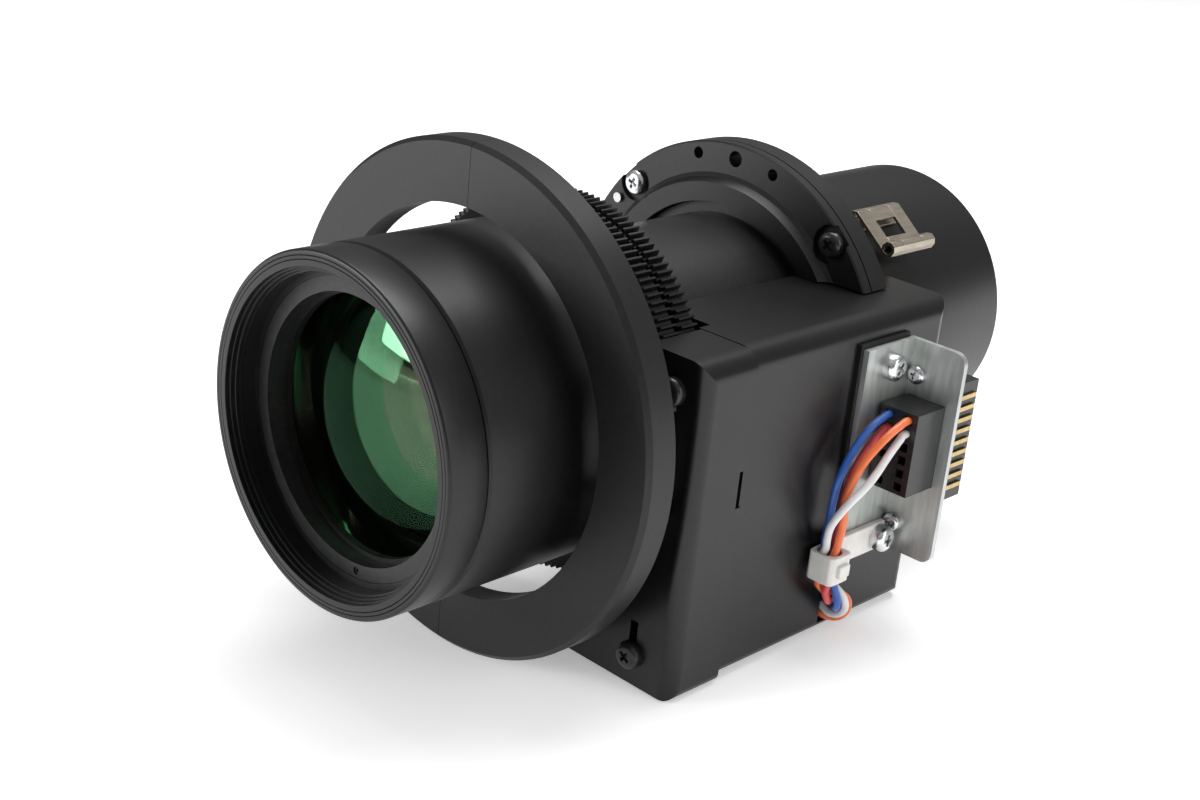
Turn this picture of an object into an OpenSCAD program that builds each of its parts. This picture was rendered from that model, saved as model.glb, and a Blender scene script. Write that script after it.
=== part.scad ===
// Interchangeable projection lens with motorised focus and zoom.
// Every piece is drawn in the lens's own frame: X towards the drive box, Y up, Z along the
// optical axis towards the screen, zero on the mounting face. stand() turns that frame so
// that the lens lies along Y with its front towards -Y and +Z up.

/* [Front barrel] */
// Thickness of the front barrel's wall over the fixed barrel
barrel_wall = 6.5; // [6:0.1:7]
// Height of the front rim above the mounting face
rim_z = 112; // [110:0.5:118]
// Length of the front barrel from the rim to its rear end
barrel_len = 46; // [44:0.5:47]
// Length of the hood ring at the front
hood_len = 8.6; // [8:0.2:9.4]
// Thickness of the front barrel's wall round the front glasses
glass_wall = 6.5; // [6.4:0.1:7]

/* [Finisher ring] */
// Outer radius of the big ring
ring_r = 50; // [48:0.5:54]
// Width of the big ring's front face with its bevel
ring_width = 12; // [11:0.25:13]
// Height of the ring's front face above the mounting face
ring_z = 82; // [81:0.5:83.5]
// Depth of the ring's rim
ring_depth = 6.5; // [5:0.25:8]
// Width of the bevel on the ring's front edge
ring_bevel = 0.9; // [0.4:0.1:1.4]

/* [Fixed barrel] */
// Outer radius of the fixed barrel
tube_r = 27; // [26.8:0.1:27.3]
// Thickness of the fixed barrel's wall
tube_wall = 3.5; // [3.2:0.1:3.8]
// Distance of the fixed barrel's front end behind the rim
tube_setback = 34; // [33.5:0.25:35]

/* [Gears] */
// Tooth size (module) of the focus and zoom gears
gear_module = 0.5; // [0.5:0.005:0.505]
// Width of each toothed ring
gear_width = 4.2; // [3.8:0.1:4.4]
// Rear face of the zoom gear above the mounting face
zoom_gear_z = 52; // [51.8:0.1:52.4]
// Gap between the two toothed rings
gear_gap = 1.1; // [1:0.05:1.4]
// Length of the pinions
pinion_len = 5.4; // [5:0.1:5.6]

/* [Mounting flange] */
// Outer radius of the flange plates
flange_r = 42; // [41.5:0.1:43]
// Thickness of the rear flange plate
rear_plate_t = 5; // [4.6:0.1:5.2]
// Thickness of the front flange plate
front_plate_t = 2.8; // [2.4:0.1:3.2]
// Distance of the mounting holes from the flange's rim
mount_inset = 3; // [2.8:0.1:3.4]
// Radius of a mounting hole
mount_hole_r = 1.7; // [1.5:0.05:1.9]
// Radius of a tapped accessory hole
tapped_hole_r = 1.25; // [1:0.05:1.4]

/* [Rear barrel] */
// Thickness of the rear barrel's wall
rear_wall = 3; // [2.6:0.1:3.4]
// Length of the rear barrel behind the mounting face
rear_len = 57.5; // [54:0.5:64]

/* [Drive box] */
// Reach of the box's outer side past the gears' pitch circle
box_side = 10; // [9.8:0.1:11.5]
// Height of the box's top above the optical axis
box_top = 20; // [19.6:0.1:20.2]
// Depth of the box's bottom below the optical axis
box_bottom = 46.4; // [45:0.2:48]
// Height of the box's front above the mounting face
box_front_z = 67; // [66:0.25:68]
// Depth of the box's rear behind the mounting face
box_rear = 8; // [7.5:0.25:10]
// Thickness of the box's walls
wall = 1.5; // [1.2:0.05:1.6]
// Rounding of the box's long top edge
box_round = 4; // [3:0.25:4.5]
// Step of the front cover over the side cover
cover_step = 0.8; // [0.5:0.05:1]

/* [Bracket and connector] */
// Thickness of the bracket's sheet
sheet = 1.2; // [1:0.05:1.4]
// Reach of the bracket's outer flange from the box
bracket_reach = 14; // [13:0.25:16]
// Height of the bracket
bracket_h = 45; // [44.5:0.25:46]
// Spacing of the connector's rows
row_pitch = 2.8; // [2.6:0.05:2.9]
// Diameter of one lead
lead_d = 1.6; // [1.4:0.05:1.7]

/* [Hidden] */
$fn = 96;
overrun = 1;
fit = 0.05;
running = 0.06;
seat = 0.4;
ease = 0.3;
slip = 0.4;

tube_bore_r = tube_r - tube_wall;
tube_len = rim_z - tube_setback;
barrel_r = tube_r + barrel_wall;
glass_bore_r = barrel_r - glass_wall;
ring_hole_r = ring_r - ring_width;
rear_r = tube_r + rear_wall;

function polar(r, a) = [r * cos(a), r * sin(a)];

// Front barrel and hood
hood_back_z = rim_z - hood_len;
groove_gap = 0.4;
barrel_front_z = hood_back_z - groove_gap;
barrel_rear_z = rim_z - barrel_len;
spigot_len = 3.9;
spigot_wall = 3.55;
spigot_r = barrel_r - spigot_wall;
hood_wall = 1.05;
hood_bore_r = glass_bore_r + hood_wall;
hood_seat_depth = 5.9;
hood_seat_z = rim_z - hood_seat_depth;
hood_rim_w = 4.3;
hood_mouth_r = barrel_r - hood_rim_w;
hood_step_r = 0.4;
hood_step_h = 0.9;
edge_break = 0.5;
lip_t = 2.5;
lip_gap = 4;
lip_z = tube_len + lip_gap;
lip_w = 3;
lip_r = glass_bore_r - lip_w;
glass_back_z = lip_z + lip_t;
rear_glass_t = 6;
spacer_t = 2.5;
front_glass_z = glass_back_z + rear_glass_t + spacer_t;
front_glass_t = 6.3;
front_dome = 7;
slight_curve = 0.5;
low_curve = 1;
high_curve = 2;
seat_rise = 1.8;
seat_ring_w = 2.6;
seat_ring_r = glass_bore_r - seat_ring_w;
trap_ring_t = 3.5;
trap_ring_z = hood_seat_z - trap_ring_t;
trap_ring_w = 1.8;
trap_ring_r = glass_bore_r - trap_ring_w;
trap_screw_r = 0.7;
trap_screw_circle_r = (trap_ring_r + hood_bore_r) / 2;
trap_screw_angle = -83;
edge_gap = 0.1;
screw_setback = 0.3;

// Gears
gear_wall = 10;
gear_teeth = 2 * round((tube_r + gear_wall) / gear_module);
pinion_teeth = 14;
gear_pitch_r = gear_teeth * gear_module / 2;
pinion_pitch_r = pinion_teeth * gear_module / 2;
mesh_gap = 0.1;
drive_r = gear_pitch_r + pinion_pitch_r + mesh_gap;
focus_gear_z = zoom_gear_z + gear_width + gear_gap;
focus_angle = 14;
zoom_angle = -30;
pinion_inset = 0.6;
shaft_r = 1;
shaft_seat = 5.8;
gear_bore_r = tube_r + running;
tooth_share = 0.40;
tip_share = 0.24;
root_share = 0.62;
pinion_share = 0.38;
pinion_tip_share = 0.20;
pinion_root_share = 0.50;
stop_t = 1.2;
stop_wall = 1.6;
stop_r = tube_r + stop_wall;
key_count = 3;
dog_w = 6;
dog_gap = 2.1;
dog_t = 2.4;
dog_in_r = tube_r + dog_gap;
dog_out_r = dog_in_r + dog_t;
dog_reach = 5;
dog_tip_z = barrel_rear_z + dog_reach;
dog_slot_len = 8;
dog_slot_z = barrel_rear_z + dog_slot_len;
dog_slack = 0.15;

// Zoom barrel
cam_r = tube_bore_r - running;
cam_wall = 1.84;
cam_bore_r = cam_r - cam_wall;
cam_setback = 1;
cam_front_z = tube_len - cam_setback;
cam_rear_z = 20;
key_r = 1.45;
key_z = zoom_gear_z + gear_width / 2;
key_in_r = cam_bore_r + edge_gap;
key_reach = 6;
key_out_r = tube_r + key_reach;
window_half = 28;
cam_run_on = 1;
window_run_on = 5;
window_h = 2 * key_r + 2 * ease;
front_group_setback = 10;
front_group_z = tube_len - front_group_setback;
rear_group_z = 36;
front_group_travel = 4.887;
rear_group_travel = 7.819;
cell_r = cam_bore_r - running;
cell_wall = 2.04;
cell_bore_r = cell_r - cell_wall;
cell_lip_w = 1.9;
cell_lip_r = cell_bore_r - cell_lip_w;
cell_lip_t = 1.6;
front_cell_len = 12;
rear_cell_len = 10;
cam_pin_r = 1;
cam_pin_wall = 0.7;
cam_pin_in_r = cell_bore_r + cam_pin_wall;
cam_pin_setback = 0.5;
cam_pin_out_r = tube_r - cam_pin_setback;
cam_slack = 0.35;
cam_slot_r = cam_pin_r + cam_slack;
cam_steps = 26;
front_pin_angle = 90;
rear_pin_angle = 30;

// Flange
boss_h = 2.2;
boss_gap = 2.5;
boss_w = 4.1;
boss_foot_w = 1.8;
boss_in_r = tube_r + boss_gap;
boss_out_r = boss_in_r + boss_w;
boss_foot_r = boss_out_r + boss_foot_w;
fillet_share = 0.25;
shoulder_w = 2.3;
shoulder_r = tube_r + shoulder_w;
joint_line = 0.35;
flange_front_z = rear_plate_t + front_plate_t;
notch_inset = 0.2;
notch_x = tube_r - notch_inset;
notch_y = box_top + ease;
clamp_screw_inset = 3.4;
clamp_screw_circle_r = flange_r - clamp_screw_inset;
clamp_screw_angles = [46, 135, 225];
pocket_r = 4.1;
pocket_depth = 1.1;
tapped_half_angle = 15;
tapped_inset = 2.6;
tapped_circle_r = flange_r - tapped_inset;
dowel_angle = 144;
dowel_r = 1.1;
dowel_out = 0.8;

// Screws
head_r = 2.75;
head_h = 2;
shank_r = 1.4;
cross_w = 0.9;
cross_depth = 0.9;
head_round = 0.6;
shank_slack = 0.15;
shank_hole_r = shank_r + shank_slack;
cross_share = 0.62;
small_share = 0.7;

// Rear barrel
mount_circle_r = flange_r - mount_inset;
rear_bore_r = rear_r - rear_wall;
rear_lip_w = 2.5;
rear_lip_r = rear_bore_r - rear_lip_w;
relay_len = 16;
relay_z = 4;
relay_wall = 4.5;
relay_bore_r = rear_bore_r - relay_wall;
relay_glass_t = 9;
rear_glass_seat = 13.5;
exit_glass_t = 5;
rear_trap_t = 4.5;
rear_trap_w = 5;
rear_trap_r = rear_bore_r - rear_trap_w;
rear_chamfer = 0.6;

// Finisher ring and what carries it
ring_skin = 2;
ring_wall = 2;
ring_inner_wall = 1.5;
ring_seam = 0.1;
post_inset = 8;
post_circle_r = ring_r - post_inset;
post_r = 2.2;
post_bore_r = 1;
carrier_t = 1.5;
carrier_drop = 4.2;
carrier_z = zoom_gear_z - carrier_drop;
carrier_inset = 3.5;
carrier_r = ring_r - carrier_inset;
carrier_from = 158;
carrier_to = 262;
carrier_posts = [165, 210, 255];
cover_posts = [-15, -50];

// Drive box
box_x = gear_pitch_r + box_side;
box_w = 26.2;
box_inner_x = box_x - box_w;
box_rear_x = notch_x + slip;
cover_depth = 14;
step_z = box_front_z - cover_depth;
front_top_w = 14.4;
front_top_x = box_x - front_top_w;
gear_room = 1.5;
front_arc_r = gear_pitch_r + gear_module + gear_room;
gear_clear_r = gear_pitch_r + gear_module + gear_room / 2;
tube_clear_r = tube_r + slip;
barrel_room = 1.5;
rear_arc_r = rear_r + barrel_room;
flange_clear_z = flange_front_z + boss_h + slip;
corner_r = 3;
foot_r = 2;
cover_foot_y = 33.4;
side_foot_y = 19.5;
catch_y0 = -10.2;
catch_h = 7.4;
catch_d = 1.6;
front_screw_inset = [6.5, 9.5];
front_screw_x = [box_x - front_screw_inset[0], box_x - front_screw_inset[1]];
front_screw_y = [13.2, -41];
keyway_w = 1.9;
keyway_len = 7;
top_screw_inset = 17;
top_screw_x = box_x - top_screw_inset;
top_screw_z = 4.4;
lead_hole_z = 15.8;
lead_hole_w = 5.8;
lead_hole_y = -44.9;
lead_hole_h = 5;

// Motors and inner parts of the box
motor_r = 5.8;
gearbox_len = 12.6;
can_len = 21;
can_r = 5.3;
bearing_r = 2;
terminal_w = 0.6;
terminal_h = 2.2;
switch_w = 5;
switch_h = 8;
switch_t = 5.2;
switch_places = [[38, -38], [40, -8]];
lever_t = 0.4;
lever_angle = 4;
board_t = 1.2;
board_inset = 4;
board_x = box_x - board_inset;
board_y = -43;
board_h = 14;
board_z = 8;
board_len = 36;
board_post_r = 1.5;

// Bracket, connector and leads
strip_t = 0.8;
strip_rim = 1;
bracket_y = -30.5;
bracket_z = 6;
bracket_foot = 15;
bracket_round = 2.5;
bracket_x = box_x + strip_t;
bracket_face_x = bracket_x + sheet;
flange_out_x = box_x + bracket_reach;
upper_screw_y = 10.3;
upper_screw_z = 13.6;
lower_screw_y = -27;
lower_screw_z = 10;
washer_t = 0.8;
washer_gap_w = 0.5;
arm_t = 1.4;
plug_out = 2.6;
plug_x = box_x + plug_out;
plug_w = 8.8;
plug_y = -14.2;
plug_rows = 6;
plug_rim = 0.4;
plug_h = plug_rows * row_pitch + plug_rim;
plug_len = 9;
plug_wall = 0.8;
column_gap = 4.4;
socket_w = 1.7;
socket_depth = 4;
socket_inset = 1.6;
socket_y = plug_y + plug_h - socket_inset;
lead_entry = 2.5;
lead_straight = 0.8;
back_x = box_x + plug_out;
back_w = 10.4;
back_y = -17;
back_h = 25;
back_len = 6.8;
contact_count = 9;
contact_w = 0.9;
contact_out = 0.5;
contact_pitch = 2.4;
plug_screw_out = 4;
plug_screw_x = box_x + plug_screw_out;
plug_screw_y = [7.5, -24.4];

clamp_out = 3.6;
clamp_x = box_x + clamp_out;
clamp_y = -28.5;
clamp_z = 26.3;
clamp_block = 6.4;
clamp_hole_r = 2.45;
arm_h = 6;
arm_end_z = 7.8;

// The routes of the leads, chosen by hand: x out of the box side, y up, z forward
lead_r = lead_d / 2;
lead_sides = 8;
twist_share = 1.85;
twist_r = lead_r * twist_share;
twist_pitch = 21.7;
trunk = [[50.6, -24.6, 26.3], [50.6, -31.4, 26.3], [50.4, -34, 25], [51.2, -36.7, 22.9],
         [50.8, -39.1, 19.8], [49.7, -41.2, 18.6], [48.1, -42.3, 18.5], [45.2, -42.4, 18.7]];
blue_route = [[51.6, -0.4, 20.4], [51.2, -4.6, 24.6], [50.7, -11, 27.4], [49.9, -19, 27],
              [49.2, -22.9, 26.4]];
orange_route = [[55.8, -0.8, 20.8], [54.4, -6, 25.4], [53, -13, 27], [52.8, -19, 26.5],
                [52.3, -22.9, 26.3]];
red_route = [[51.7, -3.4, 19], [51.2, -8, 22.6], [50.8, -14, 24.4], [50.7, -19, 24.6],
             [50.6, -22.9, 24.8]];
white_route = [[56.6, -4, 20], [56.4, -9, 25], [54.4, -14, 28.8], [51.8, -19, 28.9],
               [50.7, -22.9, 28]];

// Latch on the rear barrel
latch_angle = 51;
latch_z = -14;
latch_len = 15;
latch_w = 12.4;
latch_t = 1;
latch_rise = 3.6;
latch_roll_r = 1.5;
latch_window_w = 4.4;
latch_window_len = 7;

// Turns the lens's own frame into the stored one
module stand() {
    rotate([90, 0, 0]) children();
}

module turned(points) {
    rotate_extrude() polygon(points);
}

module tube(outer, inner, from, to) {
    turned([[inner, from], [outer, from], [outer, to], [inner, to]]);
}

module bar(r, from, to) {
    translate([0, 0, from]) cylinder(r = r, h = to - from);
}

module at_polar(r, a) {
    rotate([0, 0, a]) translate([r, 0, 0]) children();
}

module around(count, first) {
    for (i = [0 : count - 1]) rotate([0, 0, first + i * 360 / count]) children();
}

// A round bar that points away from the optical axis
module spoke(r, from, to, z) {
    translate([from, 0, z]) rotate([0, 90, 0]) cylinder(r = r, h = to - from, $fn = 32);
}

// A pan head with a cross recess on +Z, its seat at zero, and a shank below it
module pan_screw(length, share = 1) {
    difference() {
        rotate_extrude($fn = 48)
            polygon([[0, -length], [shank_r * share, -length], [shank_r * share, 0],
                     [head_r * share, 0], [head_r * share, (head_h - head_round) * share],
                     [(head_r - head_round) * share, head_h * share], [0, head_h * share]]);
        for (a = [0, 90]) rotate([0, 0, a])
            translate([-head_r * share * cross_share, -cross_w * share / 2, (head_h - cross_depth) * share])
                cube([2 * head_r * share * cross_share, cross_w * share, head_h]);
    }
}

// Straight-flanked teeth; widths are shares of the tooth pitch at the root, pitch and tip circles
function tooth_points(teeth, m, root, mid, tip) =
    [for (i = [0 : teeth - 1]) let (a = i * 360 / teeth, step = 360 / teeth)
        each [polar((teeth / 2 - 1.25) * m, a - step * root / 2),
              polar(teeth / 2 * m, a - step * mid / 2),
              polar((teeth / 2 + 1) * m, a - step * tip / 2),
              polar((teeth / 2 + 1) * m, a + step * tip / 2),
              polar(teeth / 2 * m, a + step * mid / 2),
              polar((teeth / 2 - 1.25) * m, a + step * root / 2)]];

// A lens element: radius, edge span and the rise of its front and back faces over the edge
module lens(r, from, to, front, back) {
    steps = 12;
    function face(z, rise, i) = [r * i / steps, z + rise * (1 - pow(i / steps, 2))];
    turned([each [for (i = [0 : steps]) face(from, back, i)],
            each [for (i = [0 : steps]) face(to, front, steps - i)]]);
}

module front_hood() color("#1c1c1d") stand() {
    turned([[hood_bore_r, barrel_front_z - spigot_len + edge_gap],
            [spigot_r, barrel_front_z - spigot_len + edge_gap], [spigot_r, hood_back_z],
            [barrel_r - edge_break, hood_back_z], [barrel_r, hood_back_z + edge_break],
            [barrel_r, rim_z - edge_break], [barrel_r - edge_break, rim_z],
            [hood_mouth_r + 3 * hood_step_r, rim_z],
            [hood_mouth_r + 3 * hood_step_r, rim_z - hood_step_h],
            [hood_mouth_r + 2 * hood_step_r, rim_z - hood_step_h],
            [hood_mouth_r + 2 * hood_step_r, rim_z - 2 * hood_step_h],
            [hood_mouth_r + hood_step_r, rim_z - 2 * hood_step_h],
            [hood_mouth_r + hood_step_r, rim_z - 3 * hood_step_h],
            [hood_mouth_r, rim_z - 3 * hood_step_h], [hood_mouth_r, hood_seat_z + edge_gap],
            [hood_bore_r, hood_seat_z + edge_gap]]);
}

module front_barrel() color("#1b1b1c") stand() {
    difference() {
        turned([[gear_bore_r, barrel_rear_z], [barrel_r - edge_break, barrel_rear_z],
                [barrel_r, barrel_rear_z + edge_break], [barrel_r, barrel_front_z - edge_break],
                [barrel_r - edge_break, barrel_front_z], [spigot_r + fit, barrel_front_z],
                [spigot_r + fit, barrel_front_z - spigot_len],
                [glass_bore_r, barrel_front_z - spigot_len], [glass_bore_r, glass_back_z],
                [lip_r, glass_back_z], [lip_r, lip_z], [gear_bore_r, lip_z]]);
        around(key_count, 0)
            translate([dog_in_r - dog_slack, -dog_w / 2 - dog_slack, barrel_rear_z - overrun])
                cube([dog_out_r - dog_in_r + 2 * dog_slack, dog_w + 2 * dog_slack,
                      dog_slot_z - barrel_rear_z + overrun]);
    }
}

module glass_trap_ring() color("#4b4c4e") stand() {
    difference() {
        tube(hood_bore_r - fit, trap_ring_r, trap_ring_z, hood_seat_z);
        at_polar(trap_screw_circle_r, trap_screw_angle)
            bar(trap_screw_r + fit, trap_ring_z - overrun, hood_seat_z + overrun);
    }
}

module trap_set_screw() color("#161616") stand() {
    at_polar(trap_screw_circle_r, trap_screw_angle)
        difference() {
            bar(trap_screw_r, trap_ring_z + edge_gap, hood_seat_z - screw_setback);
            bar(trap_screw_r / 2, hood_seat_z - 2 * trap_screw_r, hood_seat_z + overrun);
        }
}

module glass_seat_ring() color("#0e0e0e") stand() {
    turned([[glass_bore_r - fit, front_glass_z + front_glass_t + edge_gap],
            [glass_bore_r - fit, trap_ring_z], [seat_ring_r, trap_ring_z],
            [seat_ring_r, front_glass_z + front_glass_t + seat_rise]]);
}

module front_glass() color("#24362c", 0.5) stand() {
    lens(glass_bore_r - fit, front_glass_z, front_glass_z + front_glass_t, front_dome, high_curve);
}

module glass_spacer() color("#101010") stand() {
    tube(glass_bore_r - fit, seat_ring_r, front_glass_z - spacer_t, front_glass_z);
}

module second_glass() color("#33302c", 0.5) stand() {
    lens(glass_bore_r - fit, glass_back_z, glass_back_z + rear_glass_t, -low_curve, low_curve);
}

module gear_ring(z) {
    difference() {
        translate([0, 0, z]) linear_extrude(gear_width)
            polygon(tooth_points(gear_teeth, gear_module, root_share, tooth_share, tip_share));
        bar(gear_bore_r, z - overrun, z + gear_width + overrun);
        children();
    }
}

module focus_gear_ring() color("#151515") stand() {
    gear_ring(focus_gear_z);
}

module focus_dogs() color("#2a2a2b") stand() {
    around(key_count, 0)
        translate([dog_in_r, -dog_w / 2, focus_gear_z + gear_width])
            cube([dog_out_r - dog_in_r, dog_w, dog_tip_z - focus_gear_z - gear_width]);
}

module zoom_gear_ring() color("#151515") stand() {
    // Half a tooth ahead of the focus gear, as they stand on the lens
    rotate([0, 0, 180 / gear_teeth]) gear_ring(zoom_gear_z)
        around(key_count, -180 / gear_teeth)
            spoke(key_r + fit, tube_r - overrun, key_out_r + fit, key_z);
}

module zoom_keys() color("#8d8f92") stand() {
    around(key_count, 0) spoke(key_r, key_in_r, key_out_r, key_z);
}

// One cam slot as a chain of drilled holes; the wall moves a pin by travel over the half turn
module cam_slot(z, travel, first) {
    for (i = [0 : cam_steps])
        let (share = 2 * i / cam_steps - 1)
            rotate([0, 0, first + share * (window_half + cam_run_on)])
                spoke(cam_slot_r, cam_bore_r - overrun, cam_r + overrun,
                      z - share * travel * (window_half + cam_run_on) / window_half);
}

module zoom_cam_ring() color("#6d6f72") stand() {
    difference() {
        tube(cam_r, cam_bore_r, cam_rear_z, cam_front_z);
        around(key_count, 0) spoke(key_r + fit, cam_bore_r - overrun, cam_r + overrun, key_z);
        for (i = [0 : key_count - 1]) {
            cam_slot(front_group_z, front_group_travel, front_pin_angle + i * 360 / key_count);
            cam_slot(rear_group_z, -rear_group_travel, rear_pin_angle + i * 360 / key_count);
        }
    }
}

module zoom_cell(z, length, first) {
    difference() {
        turned([[cell_bore_r, z - length / 2], [cell_r, z - length / 2], [cell_r, z + length / 2],
                [cell_bore_r, z + length / 2], [cell_bore_r, z + cell_lip_t / 2],
                [cell_lip_r, z + cell_lip_t / 2], [cell_lip_r, z - cell_lip_t / 2],
                [cell_bore_r, z - cell_lip_t / 2]]);
        around(key_count, first) spoke(cam_pin_r + fit, cam_pin_in_r - fit, cell_r + overrun, z);
    }
}

module cam_pins(z, first) {
    around(key_count, first) spoke(cam_pin_r, cam_pin_in_r, cam_pin_out_r, z);
}

module front_zoom_cell() color("#2b2b2c") stand() {
    zoom_cell(front_group_z, front_cell_len, front_pin_angle);
}

module front_zoom_glass() color("#3d5a4a", 0.5) stand() {
    lens(cell_bore_r - fit, front_group_z + cell_lip_t / 2, front_group_z + front_cell_len / 2,
         -low_curve, slight_curve);
    lens(cell_bore_r - fit, front_group_z - front_cell_len / 2, front_group_z - cell_lip_t / 2,
         -slight_curve, low_curve);
}

module front_cam_pins() color("#b9bbbd") stand() {
    cam_pins(front_group_z, front_pin_angle);
}

module rear_zoom_cell() color("#2b2b2c") stand() {
    zoom_cell(rear_group_z, rear_cell_len, rear_pin_angle);
}

module rear_zoom_glass() color("#3d5a4a", 0.5) stand() {
    lens(cell_bore_r - fit, rear_group_z + cell_lip_t / 2, rear_group_z + rear_cell_len / 2,
         low_curve, slight_curve);
}

module rear_cam_pins() color("#b9bbbd") stand() {
    cam_pins(rear_group_z, rear_pin_angle);
}

module fixed_barrel() color("#2a2a2b") stand() {
    difference() {
        turned([[tube_bore_r, 0], [tube_r, 0], [tube_r, rear_plate_t + edge_gap],
                [shoulder_r, rear_plate_t + edge_gap], [shoulder_r, flange_front_z],
                [tube_r, flange_front_z], [tube_r, tube_len], [tube_bore_r, tube_len]]);
        around(key_count, front_pin_angle)
            translate([tube_bore_r - overrun, -cam_slot_r, front_group_z - front_group_travel - cam_slot_r])
                cube([tube_r - tube_bore_r + 2 * overrun, 2 * cam_slot_r,
                      2 * (front_group_travel + cam_slot_r)]);
        around(key_count, rear_pin_angle)
            translate([tube_bore_r - overrun, -cam_slot_r, rear_group_z - rear_group_travel - cam_slot_r])
                cube([tube_r - tube_bore_r + 2 * overrun, 2 * cam_slot_r,
                      2 * (rear_group_travel + cam_slot_r)]);
        around(key_count, 0) key_window();
    }
}

// The slot in the fixed barrel that a zoom key swings in
module key_window() {
    half = window_half + window_run_on;
    translate([0, 0, key_z - window_h / 2]) linear_extrude(window_h)
        polygon([polar(tube_bore_r - overrun, -half), polar(2 * tube_r, -half),
                 polar(2 * tube_r, half), polar(tube_bore_r - overrun, half),
                 polar(tube_bore_r - overrun, half / 2), polar(tube_bore_r - overrun, 0),
                 polar(tube_bore_r - overrun, -half / 2)]);
}

module gear_stop_rings() color("#3a3a3b") stand() {
    tube(stop_r, tube_r + fit, zoom_gear_z - ease - stop_t, zoom_gear_z - ease);
    tube(stop_r, tube_r + fit, focus_gear_z + gear_width + ease,
         focus_gear_z + gear_width + ease + stop_t);
}

// The corner that the flange plates give up to the drive box
module box_notch() {
    translate([notch_x, -flange_r - overrun, -overrun])
        cube([flange_r, flange_r + notch_y + overrun, flange_front_z + boss_h + 2 * overrun]);
}

module flange_holes(from, to) {
    for (a = [90, 270]) at_polar(mount_circle_r, a) bar(mount_hole_r, from - overrun, to + overrun);
    for (a = [90, 270], s = [-1, 1]) at_polar(tapped_circle_r, a + s * tapped_half_angle)
        bar(tapped_hole_r, from - overrun, to + overrun);
    for (a = clamp_screw_angles) at_polar(clamp_screw_circle_r, a)
        bar(shank_hole_r, from - overrun, to + overrun);
    at_polar(mount_circle_r, dowel_angle) bar(dowel_r + fit, from - overrun, to + overrun);
}

module flange_front_plate() color("#2c2c2d") stand() {
    difference() {
        turned([[boss_in_r, rear_plate_t], [flange_r - joint_line, rear_plate_t],
                [flange_r - joint_line, rear_plate_t + joint_line],
                [flange_r, rear_plate_t + joint_line], [flange_r, flange_front_z - joint_line],
                [flange_r - joint_line, flange_front_z], [boss_foot_r, flange_front_z],
                [(boss_foot_r + boss_out_r) / 2, flange_front_z + boss_h * fillet_share],
                [boss_out_r, flange_front_z + boss_h], [boss_in_r, flange_front_z + boss_h]]);
        flange_holes(rear_plate_t, flange_front_z);
        for (a = clamp_screw_angles) at_polar(clamp_screw_circle_r, a)
            bar(pocket_r, flange_front_z - pocket_depth, flange_front_z + boss_h + overrun);
        box_notch();
    }
}

module flange_rear_plate() color("#2a2a2b") stand() {
    difference() {
        tube(flange_r, rear_r + edge_gap, 0, rear_plate_t);
        flange_holes(0, rear_plate_t);
        box_notch();
    }
}

module flange_screw(a) {
    at_polar(clamp_screw_circle_r, a)
        translate([0, 0, flange_front_z - pocket_depth]) pan_screw(rear_plate_t);
}

module flange_screws() color("#b7b8ba") stand() {
    flange_screw(clamp_screw_angles[1]);
    flange_screw(clamp_screw_angles[2]);
}

module flange_black_screw() color("#1a1a1a") stand() {
    flange_screw(clamp_screw_angles[0]);
}

module flange_dowel() color("#98999b") stand() {
    at_polar(mount_circle_r, dowel_angle) bar(dowel_r, edge_gap, flange_front_z + dowel_out);
}

module rear_barrel() color("#262627") stand() {
    turned([[rear_bore_r, 0], [tube_r + running, 0], [tube_r + running, rear_plate_t],
            [rear_r, rear_plate_t], [rear_r, -rear_len + rear_chamfer],
            [rear_r - rear_chamfer, -rear_len], [rear_bore_r, -rear_len],
            [rear_bore_r, -rear_len + rear_glass_seat],
            [rear_lip_r, -rear_len + rear_glass_seat],
            [rear_lip_r, -relay_z - relay_len], [rear_bore_r, -relay_z - relay_len]]);
}

module relay_cell() color("#303031") stand() {
    turned([[relay_bore_r, -relay_z - relay_len], [rear_bore_r - fit, -relay_z - relay_len],
            [rear_bore_r - fit, -relay_z], [relay_bore_r, -relay_z],
            [relay_bore_r, -relay_z - cell_lip_t], [cell_bore_r, -relay_z - cell_lip_t],
            [cell_bore_r, -relay_z - 2 * cell_lip_t], [relay_bore_r, -relay_z - 2 * cell_lip_t]]);
}

module relay_glass() color("#4c5a66", 0.5) stand() {
    lens(relay_bore_r - fit, -relay_z - 2 * cell_lip_t - relay_glass_t, -relay_z - 2 * cell_lip_t,
         -low_curve, -high_curve);
}

module exit_glass() color("#4b3e52", 0.5) stand() {
    lens(rear_bore_r - fit, -rear_len + rear_glass_seat - exit_glass_t, -rear_len + rear_glass_seat,
         -low_curve, low_curve);
}

module exit_trap_ring() color("#1f1f20") stand() {
    tube(rear_bore_r - fit, rear_trap_r, -rear_len + rear_glass_seat - exit_glass_t - rear_trap_t,
         -rear_len + rear_glass_seat - exit_glass_t);
}

module rear_latch() color("#a5957c") stand() {
    rotate([0, 0, latch_angle]) translate([rear_r + fit, 0, latch_z - latch_len]) {
        difference() {
            union() {
                translate([0, -latch_w / 2, 0]) cube([latch_t, latch_w, latch_len]);
                translate([0, -latch_w / 2, 0]) cube([latch_rise, latch_t, latch_len]);
                translate([0, latch_w / 2 - latch_t, 0]) cube([latch_rise, latch_t, latch_len]);
                translate([latch_rise - latch_t, -latch_w / 2, 0])
                    cube([latch_t, latch_w, latch_len]);
            }
            translate([-overrun, -latch_window_w / 2, (latch_len - latch_window_len) / 2])
                cube([latch_rise + 2 * overrun, latch_window_w, latch_window_len]);
        }
        translate([latch_rise - latch_t + latch_roll_r, -latch_w / 2, 0])
            bar(latch_roll_r, 0, latch_len);
    }
}

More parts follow.
